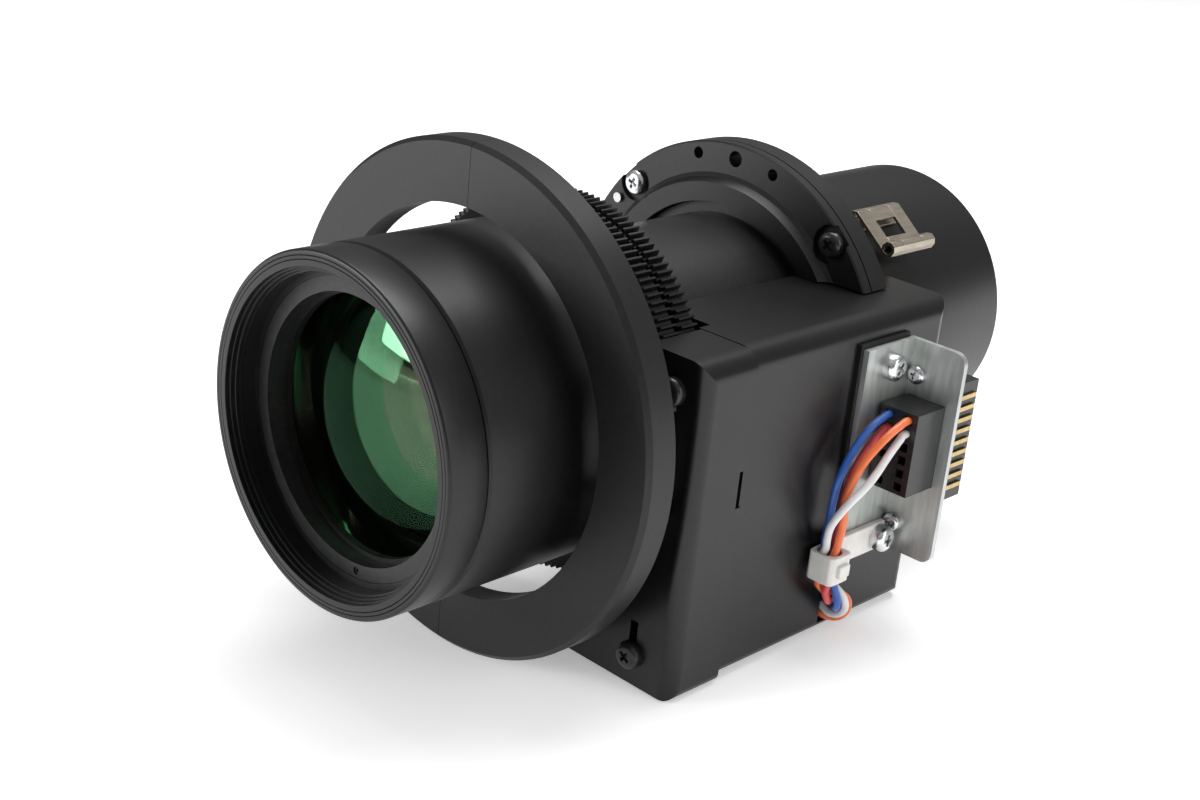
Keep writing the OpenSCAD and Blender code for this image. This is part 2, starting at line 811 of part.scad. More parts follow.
module ring_half(side) {
    intersection() {
        turned([[ring_hole_r, ring_z - ring_depth + overrun], [ring_hole_r + ring_inner_wall, ring_z - ring_depth + overrun],
                [ring_hole_r + ring_inner_wall, ring_z - ring_skin], [ring_r - ring_wall, ring_z - ring_skin],
                [ring_r - ring_wall, ring_z - ring_depth], [ring_r, ring_z - ring_depth],
                [ring_r, ring_z - ring_bevel], [ring_r - ring_bevel, ring_z],
                [ring_hole_r, ring_z]]);
        translate([side > 0 ? ring_seam / 2 : -2 * ring_r, -2 * ring_r, 0])
            cube([2 * ring_r - ring_seam / 2, 4 * ring_r, 2 * ring_z]);
    }
}

module ring_half_left() color("#202021") stand() {
    ring_half(-1);
}

module ring_half_right() color("#212122") stand() {
    ring_half(1);
}

module post_bores(angles, from, to) {
    for (a = angles) at_polar(post_circle_r, a) bar(post_bore_r, from - overrun, to + overrun);
}

module ring_carrier() color("#3f4042") stand() {
    difference() {
        linear_sector(carrier_r, carrier_from, carrier_to, carrier_z, carrier_z + carrier_t);
        bar(tube_r + fit, carrier_z - overrun, carrier_z + carrier_t + overrun);
        post_bores(carrier_posts, carrier_z, carrier_z + carrier_t);
    }
}

module linear_sector(r, a0, a1, from, to) {
    intersection() {
        bar(r, from, to);
        translate([0, 0, from - overrun]) linear_extrude(to - from + 2 * overrun)
            polygon([[0, 0], polar(2 * r, a0), polar(2 * r, (a0 + a1) / 2), polar(2 * r, a1)]);
    }
}

module ring_posts() color("#2a2a2b") stand() {
    for (a = carrier_posts) at_polar(post_circle_r, a)
        bar(post_r, carrier_z + carrier_t, ring_z - ring_skin);
    for (a = cover_posts) at_polar(post_circle_r, a)
        bar(post_r, box_front_z, ring_z - ring_skin);
}

module drive_plate() color("#8b8d90") stand() {
    difference() {
        translate([box_inner_x + wall + ease, -box_bottom + wall + ease, carrier_z])
            cube([box_x - box_inner_x - 2 * wall - 2 * ease,
                  box_top + box_bottom - 2 * wall - 2 * ease, carrier_t]);
        bar(tube_r + fit, carrier_z - overrun, carrier_z + carrier_t + overrun);
        for (a = [focus_angle, zoom_angle]) at_polar(drive_r, a)
            bar(bearing_r + ease, carrier_z - overrun, carrier_z + carrier_t + overrun);
        // The outer top corner clears the rounding of the side cover
        translate([box_x - wall - box_round, box_top - wall - box_round, carrier_z - overrun])
            cube([box_round + wall, box_round + wall, carrier_t + 2 * overrun]);
    }
}

module gear_motor(a) {
    at_polar(drive_r, a) difference() {
        union() {
            bar(motor_r, carrier_z - gearbox_len, carrier_z);
            bar(can_r, carrier_z - gearbox_len - can_len, carrier_z - gearbox_len);
            bar(bearing_r, carrier_z, carrier_z + carrier_t);
            for (s = [-1, 1])
                translate([s * can_r / 2 - terminal_w / 2, -terminal_w,
                           carrier_z - gearbox_len - can_len - terminal_h])
                    cube([terminal_w, 2 * terminal_w, terminal_h]);
        }
        bar(shaft_r + fit, carrier_z - shaft_seat, carrier_z + carrier_t + overrun);
    }
}

module focus_motor() color("#9a9c9f") stand() {
    gear_motor(focus_angle);
}

module zoom_motor() color("#9a9c9f") stand() {
    gear_motor(zoom_angle);
}

// A pinion on its shaft, turned so that one of its gaps faces a tooth of the gear
module pinion(a, z, gear_phase) {
    at_polar(drive_r, a) {
        bar(shaft_r, carrier_z - shaft_seat + edge_gap, z + pinion_len + pinion_inset);
        rotate([0, 0, 180 + 180 / pinion_teeth - gear_phase])
            translate([0, 0, z]) linear_extrude(pinion_len)
                polygon(tooth_points(pinion_teeth, gear_module, pinion_root_share, pinion_share,
                                     pinion_tip_share));
    }
}

// How far the gear tooth nearest to the drive is from it, turned into the pinion's own angle
function mesh_phase(a, offset) =
    let (step = 360 / gear_teeth, near = round((a - offset) / step) * step + offset)
        (near - a) * gear_teeth / pinion_teeth;

module focus_pinion() color("#c9c6bd") stand() {
    pinion(focus_angle, focus_gear_z - ease, mesh_phase(focus_angle, 0));
}

module zoom_pinion() color("#c9c6bd") stand() {
    pinion(zoom_angle, zoom_gear_z - pinion_inset, mesh_phase(zoom_angle, 180 / gear_teeth));
}

module limit_switches() color("#1d1d1f") stand() {
    for (p = switch_places) translate([p[0], p[1], carrier_z + carrier_t]) {
        cube([switch_w, switch_h, switch_t]);
        translate([0, 0, switch_t - lever_t / 2]) rotate([lever_angle, 0, 0])
            cube([switch_w, switch_h, lever_t]);
    }
}

module wiring_board() color("#1f5a3a") stand() {
    translate([board_x, board_y, board_z]) cube([board_t, board_h, board_len]);
    for (s = [board_post_r * 2, board_len - board_post_r * 2])
        translate([board_x + board_t, board_y + board_h / 2, board_z + s]) rotate([0, 90, 0])
            cylinder(r = board_post_r, h = box_x - wall - board_x - board_t, $fn = 32);
}

// The box's outline seen along the optical axis, rounded along its outer edges
module box_outline(left, right, bottom, top, top_round, low_round) {
    difference() {
        translate([left, bottom]) square([right - left, top - bottom]);
        translate([right - top_round, top - top_round])
            square([top_round + overrun, top_round + overrun]);
        translate([right - low_round, bottom - overrun])
            square([low_round + overrun, low_round + overrun]);
    }
    translate([right - top_round, top - top_round]) circle(r = top_round);
    translate([right - low_round, bottom + low_round]) circle(r = low_round);
}

// The box's outline seen from above, rounded at one outer corner
module plan_outline(left, right, rear, front, round_front, round_rear) {
    difference() {
        translate([left, rear]) square([right - left, front - rear]);
        if (round_front > 0)
            translate([right - round_front, front - round_front])
                square([round_front + overrun, round_front + overrun]);
        if (round_rear > 0)
            translate([right - round_rear, rear - overrun])
                square([round_rear + overrun, round_rear + overrun]);
    }
    if (round_front > 0)
        translate([right - round_front, front - round_front]) circle(r = round_front);
    if (round_rear > 0)
        translate([right - round_rear, rear + round_rear]) circle(r = round_rear);
}

// A solid with both outlines, grown or shrunk by one wall through its arguments
module box_solid(left, right, bottom, top, rear, front, top_round, low_round, front_round,
                 rear_round) {
    intersection() {
        translate([0, 0, rear]) linear_extrude(front - rear)
            box_outline(left, right, bottom, top, top_round, low_round);
        translate([0, top + overrun, 0]) rotate([90, 0, 0])
            linear_extrude(top - bottom + 2 * overrun)
                plan_outline(left, right, rear, front, front_round, rear_round);
    }
}

module keyhole(x, y, dir) {
    translate([x, y, box_front_z - wall - overrun]) {
        cylinder(r = shank_hole_r, h = wall + 2 * overrun);
        translate([-keyway_w / 2, dir > 0 ? 0 : -keyway_len, 0])
            cube([keyway_w, keyway_len, wall + 2 * overrun]);
    }
}

module front_cover() color("#1e1e1f") stand() {
    outer_x = box_x + cover_step;
    outer_top = box_top;
    outer_low = -box_bottom - cover_step;
    difference() {
        box_solid(box_inner_x, outer_x, outer_low, outer_top, step_z, box_front_z, box_round,
                  foot_r, corner_r, 0);
        // The inside
        box_solid(box_inner_x + wall, outer_x - wall, outer_low + wall, outer_top - wall,
                  step_z - overrun, box_front_z - wall, box_round - wall, foot_r - wall,
                  corner_r - wall, 0);
        // Room for the front barrel in the front plate and for the gears behind it
        bar(front_arc_r, step_z - overrun, box_front_z + overrun);
        // The inner wall stands only below the lens
        translate([box_inner_x - overrun, -cover_foot_y, step_z - overrun])
            cube([wall + 2 * overrun, box_top + cover_foot_y + overrun, box_front_z - wall - step_z + overrun]);
        // The top starts beside the gears
        translate([box_inner_x - overrun, box_top - wall - overrun, step_z - overrun])
            cube([front_top_x - box_inner_x + overrun, wall + 2 * overrun,
                  box_front_z - step_z + 2 * overrun]);
        // The catch in the rear edge
        translate([box_x - wall, catch_y0, step_z - overrun])
            cube([wall + 2 * overrun, catch_h, catch_d + overrun]);
        keyhole(front_screw_x[0], front_screw_y[0], -1);
        keyhole(front_screw_x[1], front_screw_y[1], 1);
    }
}

module side_cover() color("#1a1a1b") stand() {
    step_gap = step_z - seat;
    difference() {
        box_solid(box_inner_x, box_x, -box_bottom, box_top, -box_rear, step_gap, box_round,
                  foot_r, 0, corner_r);
        box_solid(box_inner_x + wall, box_x - wall, -box_bottom + wall, box_top - wall,
                  -box_rear + wall, step_gap + overrun, box_round - wall, foot_r - wall,
                  0, corner_r - wall);
        // The inner wall stands only below the lens
        translate([box_inner_x - overrun, -side_foot_y, -box_rear - overrun])
            cube([wall + 2 * overrun, side_foot_y + box_top - wall + overrun,
                  step_z + box_rear + 2 * overrun]);
        // Room for the flange plates and the rear barrel
        translate([box_inner_x - overrun, -box_bottom - overrun, -box_rear - overrun])
            cube([box_rear_x - box_inner_x + overrun, box_top + box_bottom + 2 * overrun,
                  flange_clear_z + box_rear + overrun]);
        bar(rear_arc_r, -box_rear - overrun, 0);
        bar(tube_clear_r, 0, step_z + overrun);
        bar(gear_clear_r, zoom_gear_z - 2 * stop_t, step_z + overrun);
        // The top in front starts beside the gears
        translate([box_inner_x - overrun, box_top - wall - overrun, zoom_gear_z - 2 * stop_t])
            cube([front_top_x - box_inner_x + overrun, wall + 2 * overrun, step_z]);
        // Holes for the bracket's screws, the leads and the top screw
        for (p = [[upper_screw_y, upper_screw_z], [lower_screw_y, lower_screw_z]])
            translate([box_x - wall - overrun, p[0], p[1]]) rotate([0, 90, 0])
                cylinder(r = shank_hole_r, h = wall + 2 * overrun);
        translate([box_x - wall - overrun, lead_hole_y, lead_hole_z])
            cube([wall + 2 * overrun, lead_hole_h, lead_hole_w]);
        translate([top_screw_x, box_top + overrun, -top_screw_z]) rotate([90, 0, 0])
            cylinder(r = shank_hole_r, h = wall + 2 * overrun);
    }
}

module cover_screws() color("#191919") stand() {
    for (i = [0, 1]) translate([front_screw_x[i], front_screw_y[i], box_front_z])
        pan_screw(2 * wall);
}

module top_screw() color("#191919") stand() {
    translate([top_screw_x, box_top, -top_screw_z]) rotate([-90, 0, 0])
        pan_screw(2 * wall, small_share);
}

// Drills both bracket screws' holes through the pieces that lie on the box's side
module bracket_bores(from, to) {
    for (p = [[upper_screw_y, upper_screw_z], [lower_screw_y, lower_screw_z]])
        translate([from - overrun, p[0], p[1]]) rotate([0, 90, 0])
            cylinder(r = shank_hole_r, h = to - from + 2 * overrun);
}

module insulating_strip() color("#101010") stand() {
    difference() {
        translate([box_x, bracket_y - strip_rim, bracket_z])
            cube([strip_t, bracket_h + 2 * strip_rim, bracket_foot + strip_rim]);
        bracket_bores(box_x, bracket_x);
    }
}

module connector_bracket() color("#b5b8b6") stand() {
    difference() {
        union() {
            translate([bracket_x, bracket_y, bracket_z - sheet])
                cube([sheet, bracket_h, bracket_foot + sheet]);
            translate([bracket_x, bracket_y, bracket_z - sheet])
                linear_extrude(sheet)
                    box_outline(0, flange_out_x - bracket_x, 0, bracket_h, bracket_round,
                                bracket_round);
        }
        bracket_bores(bracket_x, bracket_face_x);
        translate([plug_x - fit, plug_y - fit, bracket_z - sheet - overrun])
            cube([plug_w + 2 * fit, plug_h + 2 * fit, sheet + 2 * overrun]);
        for (y = plug_screw_y) translate([plug_screw_x, y, 0])
            bar(shank_hole_r * small_share, bracket_z - sheet - overrun, bracket_z + overrun);
    }
}

module side_screw(y, z, x) {
    translate([x, y, z]) rotate([0, 90, 0]) pan_screw(x - box_x + wall);
}

module bracket_screws() color("#c5c8ca") stand() {
    side_screw(upper_screw_y, upper_screw_z, bracket_face_x + washer_t);
    side_screw(lower_screw_y, lower_screw_z, bracket_face_x + arm_t + washer_t);
}

module spring_washer(y, z, x) {
    translate([x, y, z]) rotate([0, 90, 0]) difference() {
        bar(head_r, 0, washer_t);
        bar(shank_hole_r, -overrun, washer_t + overrun);
        translate([0, -washer_gap_w / 2, -overrun])
            cube([head_r + overrun, washer_gap_w, washer_t + 2 * overrun]);
    }
}

module spring_washers() color("#a9abac") stand() {
    spring_washer(upper_screw_y, upper_screw_z, bracket_face_x);
    spring_washer(lower_screw_y, lower_screw_z, bracket_face_x + arm_t);
}

module connector_plug() color("#131313") stand() {
    difference() {
        translate([plug_x, plug_y, bracket_z - sheet]) cube([plug_w, plug_h, plug_len + sheet]);
        for (c = [-1, 1], r = [0 : plug_rows - 1])
            translate([plug_x + plug_w / 2 + c * column_gap / 2 - socket_w / 2,
                       socket_y - r * row_pitch - socket_w / 2, bracket_z + plug_len - socket_depth])
                cube([socket_w, socket_w, socket_depth + overrun]);
    }
}

module connector_socket() color("#151515") stand() {
    difference() {
        translate([back_x, back_y, bracket_z - sheet - back_len]) cube([back_w, back_h, back_len]);
        for (i = [0 : contact_count - 1]) contact_cell(i, fit, overrun);
    }
}

// The place of one contact in the connector's outer side
module contact_cell(i, grow, out) {
    translate([back_x + back_w - contact_out - grow,
               back_y + back_h / 2 + (i - (contact_count - 1) / 2) * contact_pitch - contact_w / 2 - grow,
               bracket_z - sheet - back_len + contact_w])
        cube([contact_out + grow + out, contact_w + 2 * grow, back_len - 2 * contact_w]);
}

module contact_fingers() color("#c9a44a") stand() {
    for (i = [0 : contact_count - 1]) contact_cell(i, 0, contact_out);
}

module connector_screws() color("#c5c8ca") stand() {
    for (y = plug_screw_y) translate([plug_screw_x, y, bracket_z])
        pan_screw(sheet, small_share);
}

module cable_clamp() color("#e9e6dc") stand() {
    difference() {
        union() {
            translate([bracket_face_x, lower_screw_y - arm_h / 2, arm_end_z])
                cube([arm_t, arm_h, clamp_z - clamp_block / 2 - arm_end_z + overrun]);
            translate([bracket_face_x - arm_t, clamp_y - arm_h / 2, clamp_z - clamp_block / 2])
                cube([clamp_block, arm_h, clamp_block]);
        }
        translate([bracket_face_x - overrun, lower_screw_y, lower_screw_z]) rotate([0, 90, 0])
            cylinder(r = shank_hole_r, h = arm_t + 2 * overrun);
        translate([clamp_x, clamp_y + arm_h, clamp_z]) rotate([90, 0, 0])
            cylinder(r = clamp_hole_r, h = 2 * arm_h);
    }
}

// Smooth curve through hand-chosen points
function spline(p, i, t) =
    let (a = p[max(i - 1, 0)], b = p[i], c = p[i + 1], d = p[min(i + 2, len(p) - 1)])
        0.5 * (2 * b + (c - a) * t + (2 * a - 5 * b + 4 * c - d) * t * t
               + (3 * b - a - 3 * c + d) * t * t * t);
function route(p, cuts) =
    [for (i = [0 : len(p) - 2], k = [0 : cuts - 1]) spline(p, i, k / cuts), p[len(p) - 1]];

function unit(v) = v / norm(v);
// The lead's place round the trunk, turning steadily as it goes down
function lay(path, phase) =
    [for (i = [0 : len(path) - 1])
        let (t = unit(path[min(i + 1, len(path) - 1)] - path[max(i - 1, 0)]),
             u = unit(cross(t, [0, 0, 1])), w = cross(t, u),
             a = phase + run(path, i) / twist_pitch * 360)
            path[i] + twist_r * (cos(a) * u + sin(a) * w)];
function run(path, i) = i == 0 ? 0 : run(path, i - 1) + norm(path[i] - path[i - 1]);

// One unbroken tube through points, with flat ends
module lead(points) {
    n = len(points);
    tangents = [for (i = [0 : n - 1])
        unit(points[min(i + 1, n - 1)] - points[max(i - 1, 0)])];
    rings = [for (i = [0 : n - 1])
        let (t = tangents[i], u = unit(cross(t, [0.3, 0.1, 0.9])), w = cross(t, u))
            for (k = [0 : lead_sides - 1])
                points[i] + lead_r * (cos(k * 360 / lead_sides) * u + sin(k * 360 / lead_sides) * w)];
    walls = [for (i = [0 : n - 2], k = [0 : lead_sides - 1])
        let (k2 = (k + 1) % lead_sides, a = i * lead_sides, b = a + lead_sides)
            each [[a + k, a + k2, b + k2], [a + k, b + k2, b + k]]];
    first = [for (k = [1 : lead_sides - 2]) [0, k + 1, k]];
    last = [for (k = [1 : lead_sides - 2])
        [(n - 1) * lead_sides, (n - 1) * lead_sides + k, (n - 1) * lead_sides + k + 1]];
    polyhedron(points = rings, faces = concat([for (f = walls) [f[2], f[1], f[0]]],
               [for (f = first) [f[2], f[1], f[0]]], [for (f = last) [f[2], f[1], f[0]]]));
}

// From a socket of the plug, by the hand-laid route, through the clamp and into the box
module whole_lead(column, row, path, phase) {
    x = plug_x + plug_w / 2 + column * column_gap / 2;
    y = socket_y - row * row_pitch;
    front = bracket_z + plug_len;
    lead(concat([[x, y, front - lead_entry]], route(concat([[x, y, front + lead_straight]], path), 3),
                lay(route(trunk, 3), phase)));
}

module lead_blue() color("#2f62b8") stand() {
    whole_lead(-1, 0, blue_route, 0);
}

module lead_orange() color("#ef6a2e") stand() {
    whole_lead(1, 0, orange_route, 180);
}

module lead_red() color("#d8474a") stand() {
    whole_lead(-1, 1, red_route, 90);
}

module lead_white() color("#ececec") stand() {
    whole_lead(1, 1, white_route, 270);
}

front_hood();
front_barrel();
glass_trap_ring();
trap_set_screw();
glass_seat_ring();
front_glass();
glass_spacer();
second_glass();
focus_gear_ring();
focus_dogs();
zoom_gear_ring();
zoom_cam_ring();
zoom_keys();
front_zoom_cell();
front_zoom_glass();
front_cam_pins();
rear_zoom_cell();
rear_zoom_glass();
rear_cam_pins();
fixed_barrel();
gear_stop_rings();
flange_front_plate();
flange_rear_plate();
flange_screws();
flange_black_screw();
flange_dowel();
rear_barrel();
relay_cell();
relay_glass();
exit_glass();
exit_trap_ring();
rear_latch();
ring_half_left();
ring_half_right();
ring_carrier();
ring_posts();
drive_plate();
focus_motor();
zoom_motor();
focus_pinion();
zoom_pinion();
limit_switches();
wiring_board();
front_cover();
side_cover();
cover_screws();
top_screw();
insulating_strip();
connector_bracket();
bracket_screws();
spring_washers();
connector_plug();
connector_socket();
contact_fingers();
connector_screws();
cable_clamp();
lead_blue();
lead_orange();
lead_red();
lead_white();
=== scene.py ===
"""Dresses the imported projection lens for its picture: finishes, optics, leads, trim and studio."""

import logging
import math
from dataclasses import dataclass, field
from enum import Enum
from typing import ClassVar, Sequence

import bmesh
import bpy
from mathutils import Matrix, Vector


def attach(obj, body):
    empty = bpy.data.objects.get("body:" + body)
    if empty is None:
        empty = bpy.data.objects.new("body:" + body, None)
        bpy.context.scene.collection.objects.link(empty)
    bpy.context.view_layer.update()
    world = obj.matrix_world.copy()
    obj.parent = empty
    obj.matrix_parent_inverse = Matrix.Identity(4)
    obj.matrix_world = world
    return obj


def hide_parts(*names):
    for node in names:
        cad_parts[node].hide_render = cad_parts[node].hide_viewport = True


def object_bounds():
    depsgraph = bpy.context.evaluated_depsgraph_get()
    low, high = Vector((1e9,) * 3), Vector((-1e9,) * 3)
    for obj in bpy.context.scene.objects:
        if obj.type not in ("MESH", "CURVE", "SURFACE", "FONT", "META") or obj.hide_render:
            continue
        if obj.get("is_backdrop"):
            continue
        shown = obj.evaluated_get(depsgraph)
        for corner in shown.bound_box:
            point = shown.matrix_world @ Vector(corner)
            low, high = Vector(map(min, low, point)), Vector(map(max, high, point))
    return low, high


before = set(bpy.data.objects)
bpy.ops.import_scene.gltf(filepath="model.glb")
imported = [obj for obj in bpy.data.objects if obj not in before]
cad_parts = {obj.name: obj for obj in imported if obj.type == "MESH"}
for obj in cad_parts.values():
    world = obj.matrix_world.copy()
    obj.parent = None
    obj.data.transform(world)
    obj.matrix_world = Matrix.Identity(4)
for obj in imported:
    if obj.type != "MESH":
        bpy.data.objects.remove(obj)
LOG = logging.getLogger("lens_scene")
MM = 0.001
Point = tuple[float, float, float]
Profile = Sequence[tuple[float, float]]


class Body(str, Enum):
    """The moving bodies that a piece can ride on."""

    BASE = "lens_base"
    FOCUS_BARREL = "focus_barrel"
    ZOOM_FRONT = "front_zoom_group"


def lens_to_world(x: float, y: float, h: float) -> Vector:
    """Turns a place in the lens's own frame into the stored frame.

    Args:
        x: millimetres towards the drive box.
        y: millimetres up.
        h: millimetres forward of the mounting face.
    Returns:
        The place in metres.
    """
    return Vector((x * MM, -h * MM, y * MM))


def polar(radius: float, degrees: float) -> tuple[float, float]:
    """Returns x and y of a place at a radius and an angle round the optical axis.

    Args:
        radius: distance from the axis in millimetres.
        degrees: angle from the drive box's side, turning towards the top.
    Returns:
        The pair of coordinates in millimetres.
    """
    return radius * math.cos(math.radians(degrees)), radius * math.sin(math.radians(degrees))


# Finishes

RAMP_LOW = 0.35
RAMP_HIGH = 0.65
WEAR_COARSENESS = 22
RELIEF_DISTANCE = 0.0004
GLOW_DEPTH = 0.001
LEAST_ROUGHNESS = 0.02
GLASS_NOISE = (12.0, 1.0)
GLASS_INDEX = 1.7
TINT_DIM = 0.8
TINT_LIFT = 1.04


class Surface:
    """A material's node tree with short ways to add to it."""

    def __init__(self, name: str) -> None:
        """Starts an empty material.

        Args:
            name: the material's name.
        """
        self.material = bpy.data.materials.new(name)
        self.material.use_nodes = True
        self.tree = self.material.node_tree
        self.tree.nodes.clear()
        self.output = self.tree.nodes.new("ShaderNodeOutputMaterial")

    def add(self, kind: str, **inputs: object) -> bpy.types.Node:
        """Adds a node and fills its sockets.

        Args:
            kind: the node's type.
            inputs: socket values by name, with underscores for spaces.
        Returns:
            The new node.
        """
        node = self.tree.nodes.new(kind)
        for key, value in inputs.items():
            node.inputs[key.replace("_", " ")].default_value = value
        return node

    def link(self, out: bpy.types.NodeSocket, into: bpy.types.NodeSocket) -> None:
        """Joins two sockets.

        Args:
            out: the socket that gives.
            into: the socket that takes.
        """
        self.tree.links.new(out, into)

    def speckle(self, scale: float, detail: float = 6.0, stretch: Point = (1, 1, 1)) -> bpy.types.Node:
        """Adds noise over the object's own coordinates.

        Args:
            scale: the noise's scale.
            detail: the noise's detail.
            stretch: scaling along the three axes, for brushed looks.
        Returns:
            The noise node.
        """
        place = self.tree.nodes.new("ShaderNodeTexCoord")
        mapping = self.tree.nodes.new("ShaderNodeMapping")
        mapping.inputs["Scale"].default_value = stretch
        noise = self.add("ShaderNodeTexNoise", Scale=scale, Detail=detail)
        self.link(place.outputs["Object"], mapping.inputs["Vector"])
        self.link(mapping.outputs["Vector"], noise.inputs["Vector"])
        return noise


@dataclass(frozen=True)
class Finish:
    """A solid finish: a mottled colour, an uneven polish and a fine relief."""

    name: str
    dark: Point
    light: Point
    roughness: float
    spread: float = 0.08
    metallic: float = 0.0
    grain: float = 900.0
    relief: float = 0.02
    stretch: Point = (1, 1, 1)
    coat: float = 0.0
    specular: float = 0.5
    glow_through: float = 0.0

    def make(self) -> bpy.types.Material:
        """Builds the finish.

        Returns:
            The material.
        """
        s = Surface(self.name)
        shader = s.add("ShaderNodeBsdfPrincipled", Metallic=self.metallic, Coat_Weight=self.coat)
        shader.inputs["Specular IOR Level"].default_value = self.specular
        shader.inputs["Subsurface Weight"].default_value = self.glow_through
        shader.inputs["Subsurface Scale"].default_value = GLOW_DEPTH
        noise = s.speckle(self.grain, stretch=self.stretch)
        ramp = s.tree.nodes.new("ShaderNodeValToRGB")
        ramp.color_ramp.elements[0].color = (*self.dark, 1)
        ramp.color_ramp.elements[1].color = (*self.light, 1)
        ramp.color_ramp.elements[0].position = RAMP_LOW
        ramp.color_ramp.elements[1].position = RAMP_HIGH
        s.link(noise.outputs["Fac"], ramp.inputs["Fac"])
        s.link(ramp.outputs["Color"], shader.inputs["Base Color"])
        wear = s.speckle(self.grain / WEAR_COARSENESS)
        span = s.tree.nodes.new("ShaderNodeMapRange")
        span.inputs["To Min"].default_value = max(LEAST_ROUGHNESS, self.roughness - self.spread)
        span.inputs["To Max"].default_value = min(1.0, self.roughness + self.spread)
        s.link(wear.outputs["Fac"], span.inputs["Value"])
        s.link(span.outputs["Result"], shader.inputs["Roughness"])
        bump = s.add("ShaderNodeBump", Strength=self.relief, Distance=RELIEF_DISTANCE)
        s.link(noise.outputs["Fac"], bump.inputs["Height"])
        s.link(bump.outputs["Normal"], shader.inputs["Normal"])
        s.link(shader.outputs["BSDF"], s.output.inputs["Surface"])
        return s.material


@dataclass(frozen=True)
class CoatedGlass:
    """Glass seen as its coating's reflection over a tinted view through it."""

    name: str
    through: Point
    reflection: Point
    strength: float = 1.0
    roughness: float = 0.02

    def make(self) -> bpy.types.Material:
        """Builds the glass.

        Returns:
            The material.
        """
        s = Surface(self.name)
        clear = s.add("ShaderNodeBsdfTransparent")
        gloss = s.add("ShaderNodeBsdfGlossy", Roughness=self.roughness)
        noise = s.speckle(*GLASS_NOISE)
        tint = s.tree.nodes.new("ShaderNodeValToRGB")
        tint.color_ramp.elements[0].color = (*(c * TINT_DIM for c in self.reflection), 1)
        tint.color_ramp.elements[1].color = (*self.reflection, 1)
        body = s.tree.nodes.new("ShaderNodeValToRGB")
        body.color_ramp.elements[0].color = (*self.through, 1)
        body.color_ramp.elements[1].color = (*(min(1.0, c * TINT_LIFT) for c in self.through), 1)
        s.link(noise.outputs["Fac"], tint.inputs["Fac"])
        s.link(noise.outputs["Fac"], body.inputs["Fac"])
        s.link(tint.outputs["Color"], gloss.inputs["Color"])
        s.link(body.outputs["Color"], clear.inputs["Color"])
        edge = s.add("ShaderNodeFresnel", IOR=GLASS_INDEX)
        gain = s.tree.nodes.new("ShaderNodeMath")
        gain.operation = "MULTIPLY"
        gain.use_clamp = True
        gain.inputs[1].default_value = self.strength
        mix = s.tree.nodes.new("ShaderNodeMixShader")
        s.link(edge.outputs["Fac"], gain.inputs[0])
        s.link(gain.outputs["Value"], mix.inputs["Fac"])
        s.link(clear.outputs["BSDF"], mix.inputs[1])
        s.link(gloss.outputs["BSDF"], mix.inputs[2])
        s.link(mix.outputs["Shader"], s.output.inputs["Surface"])
        return s.material


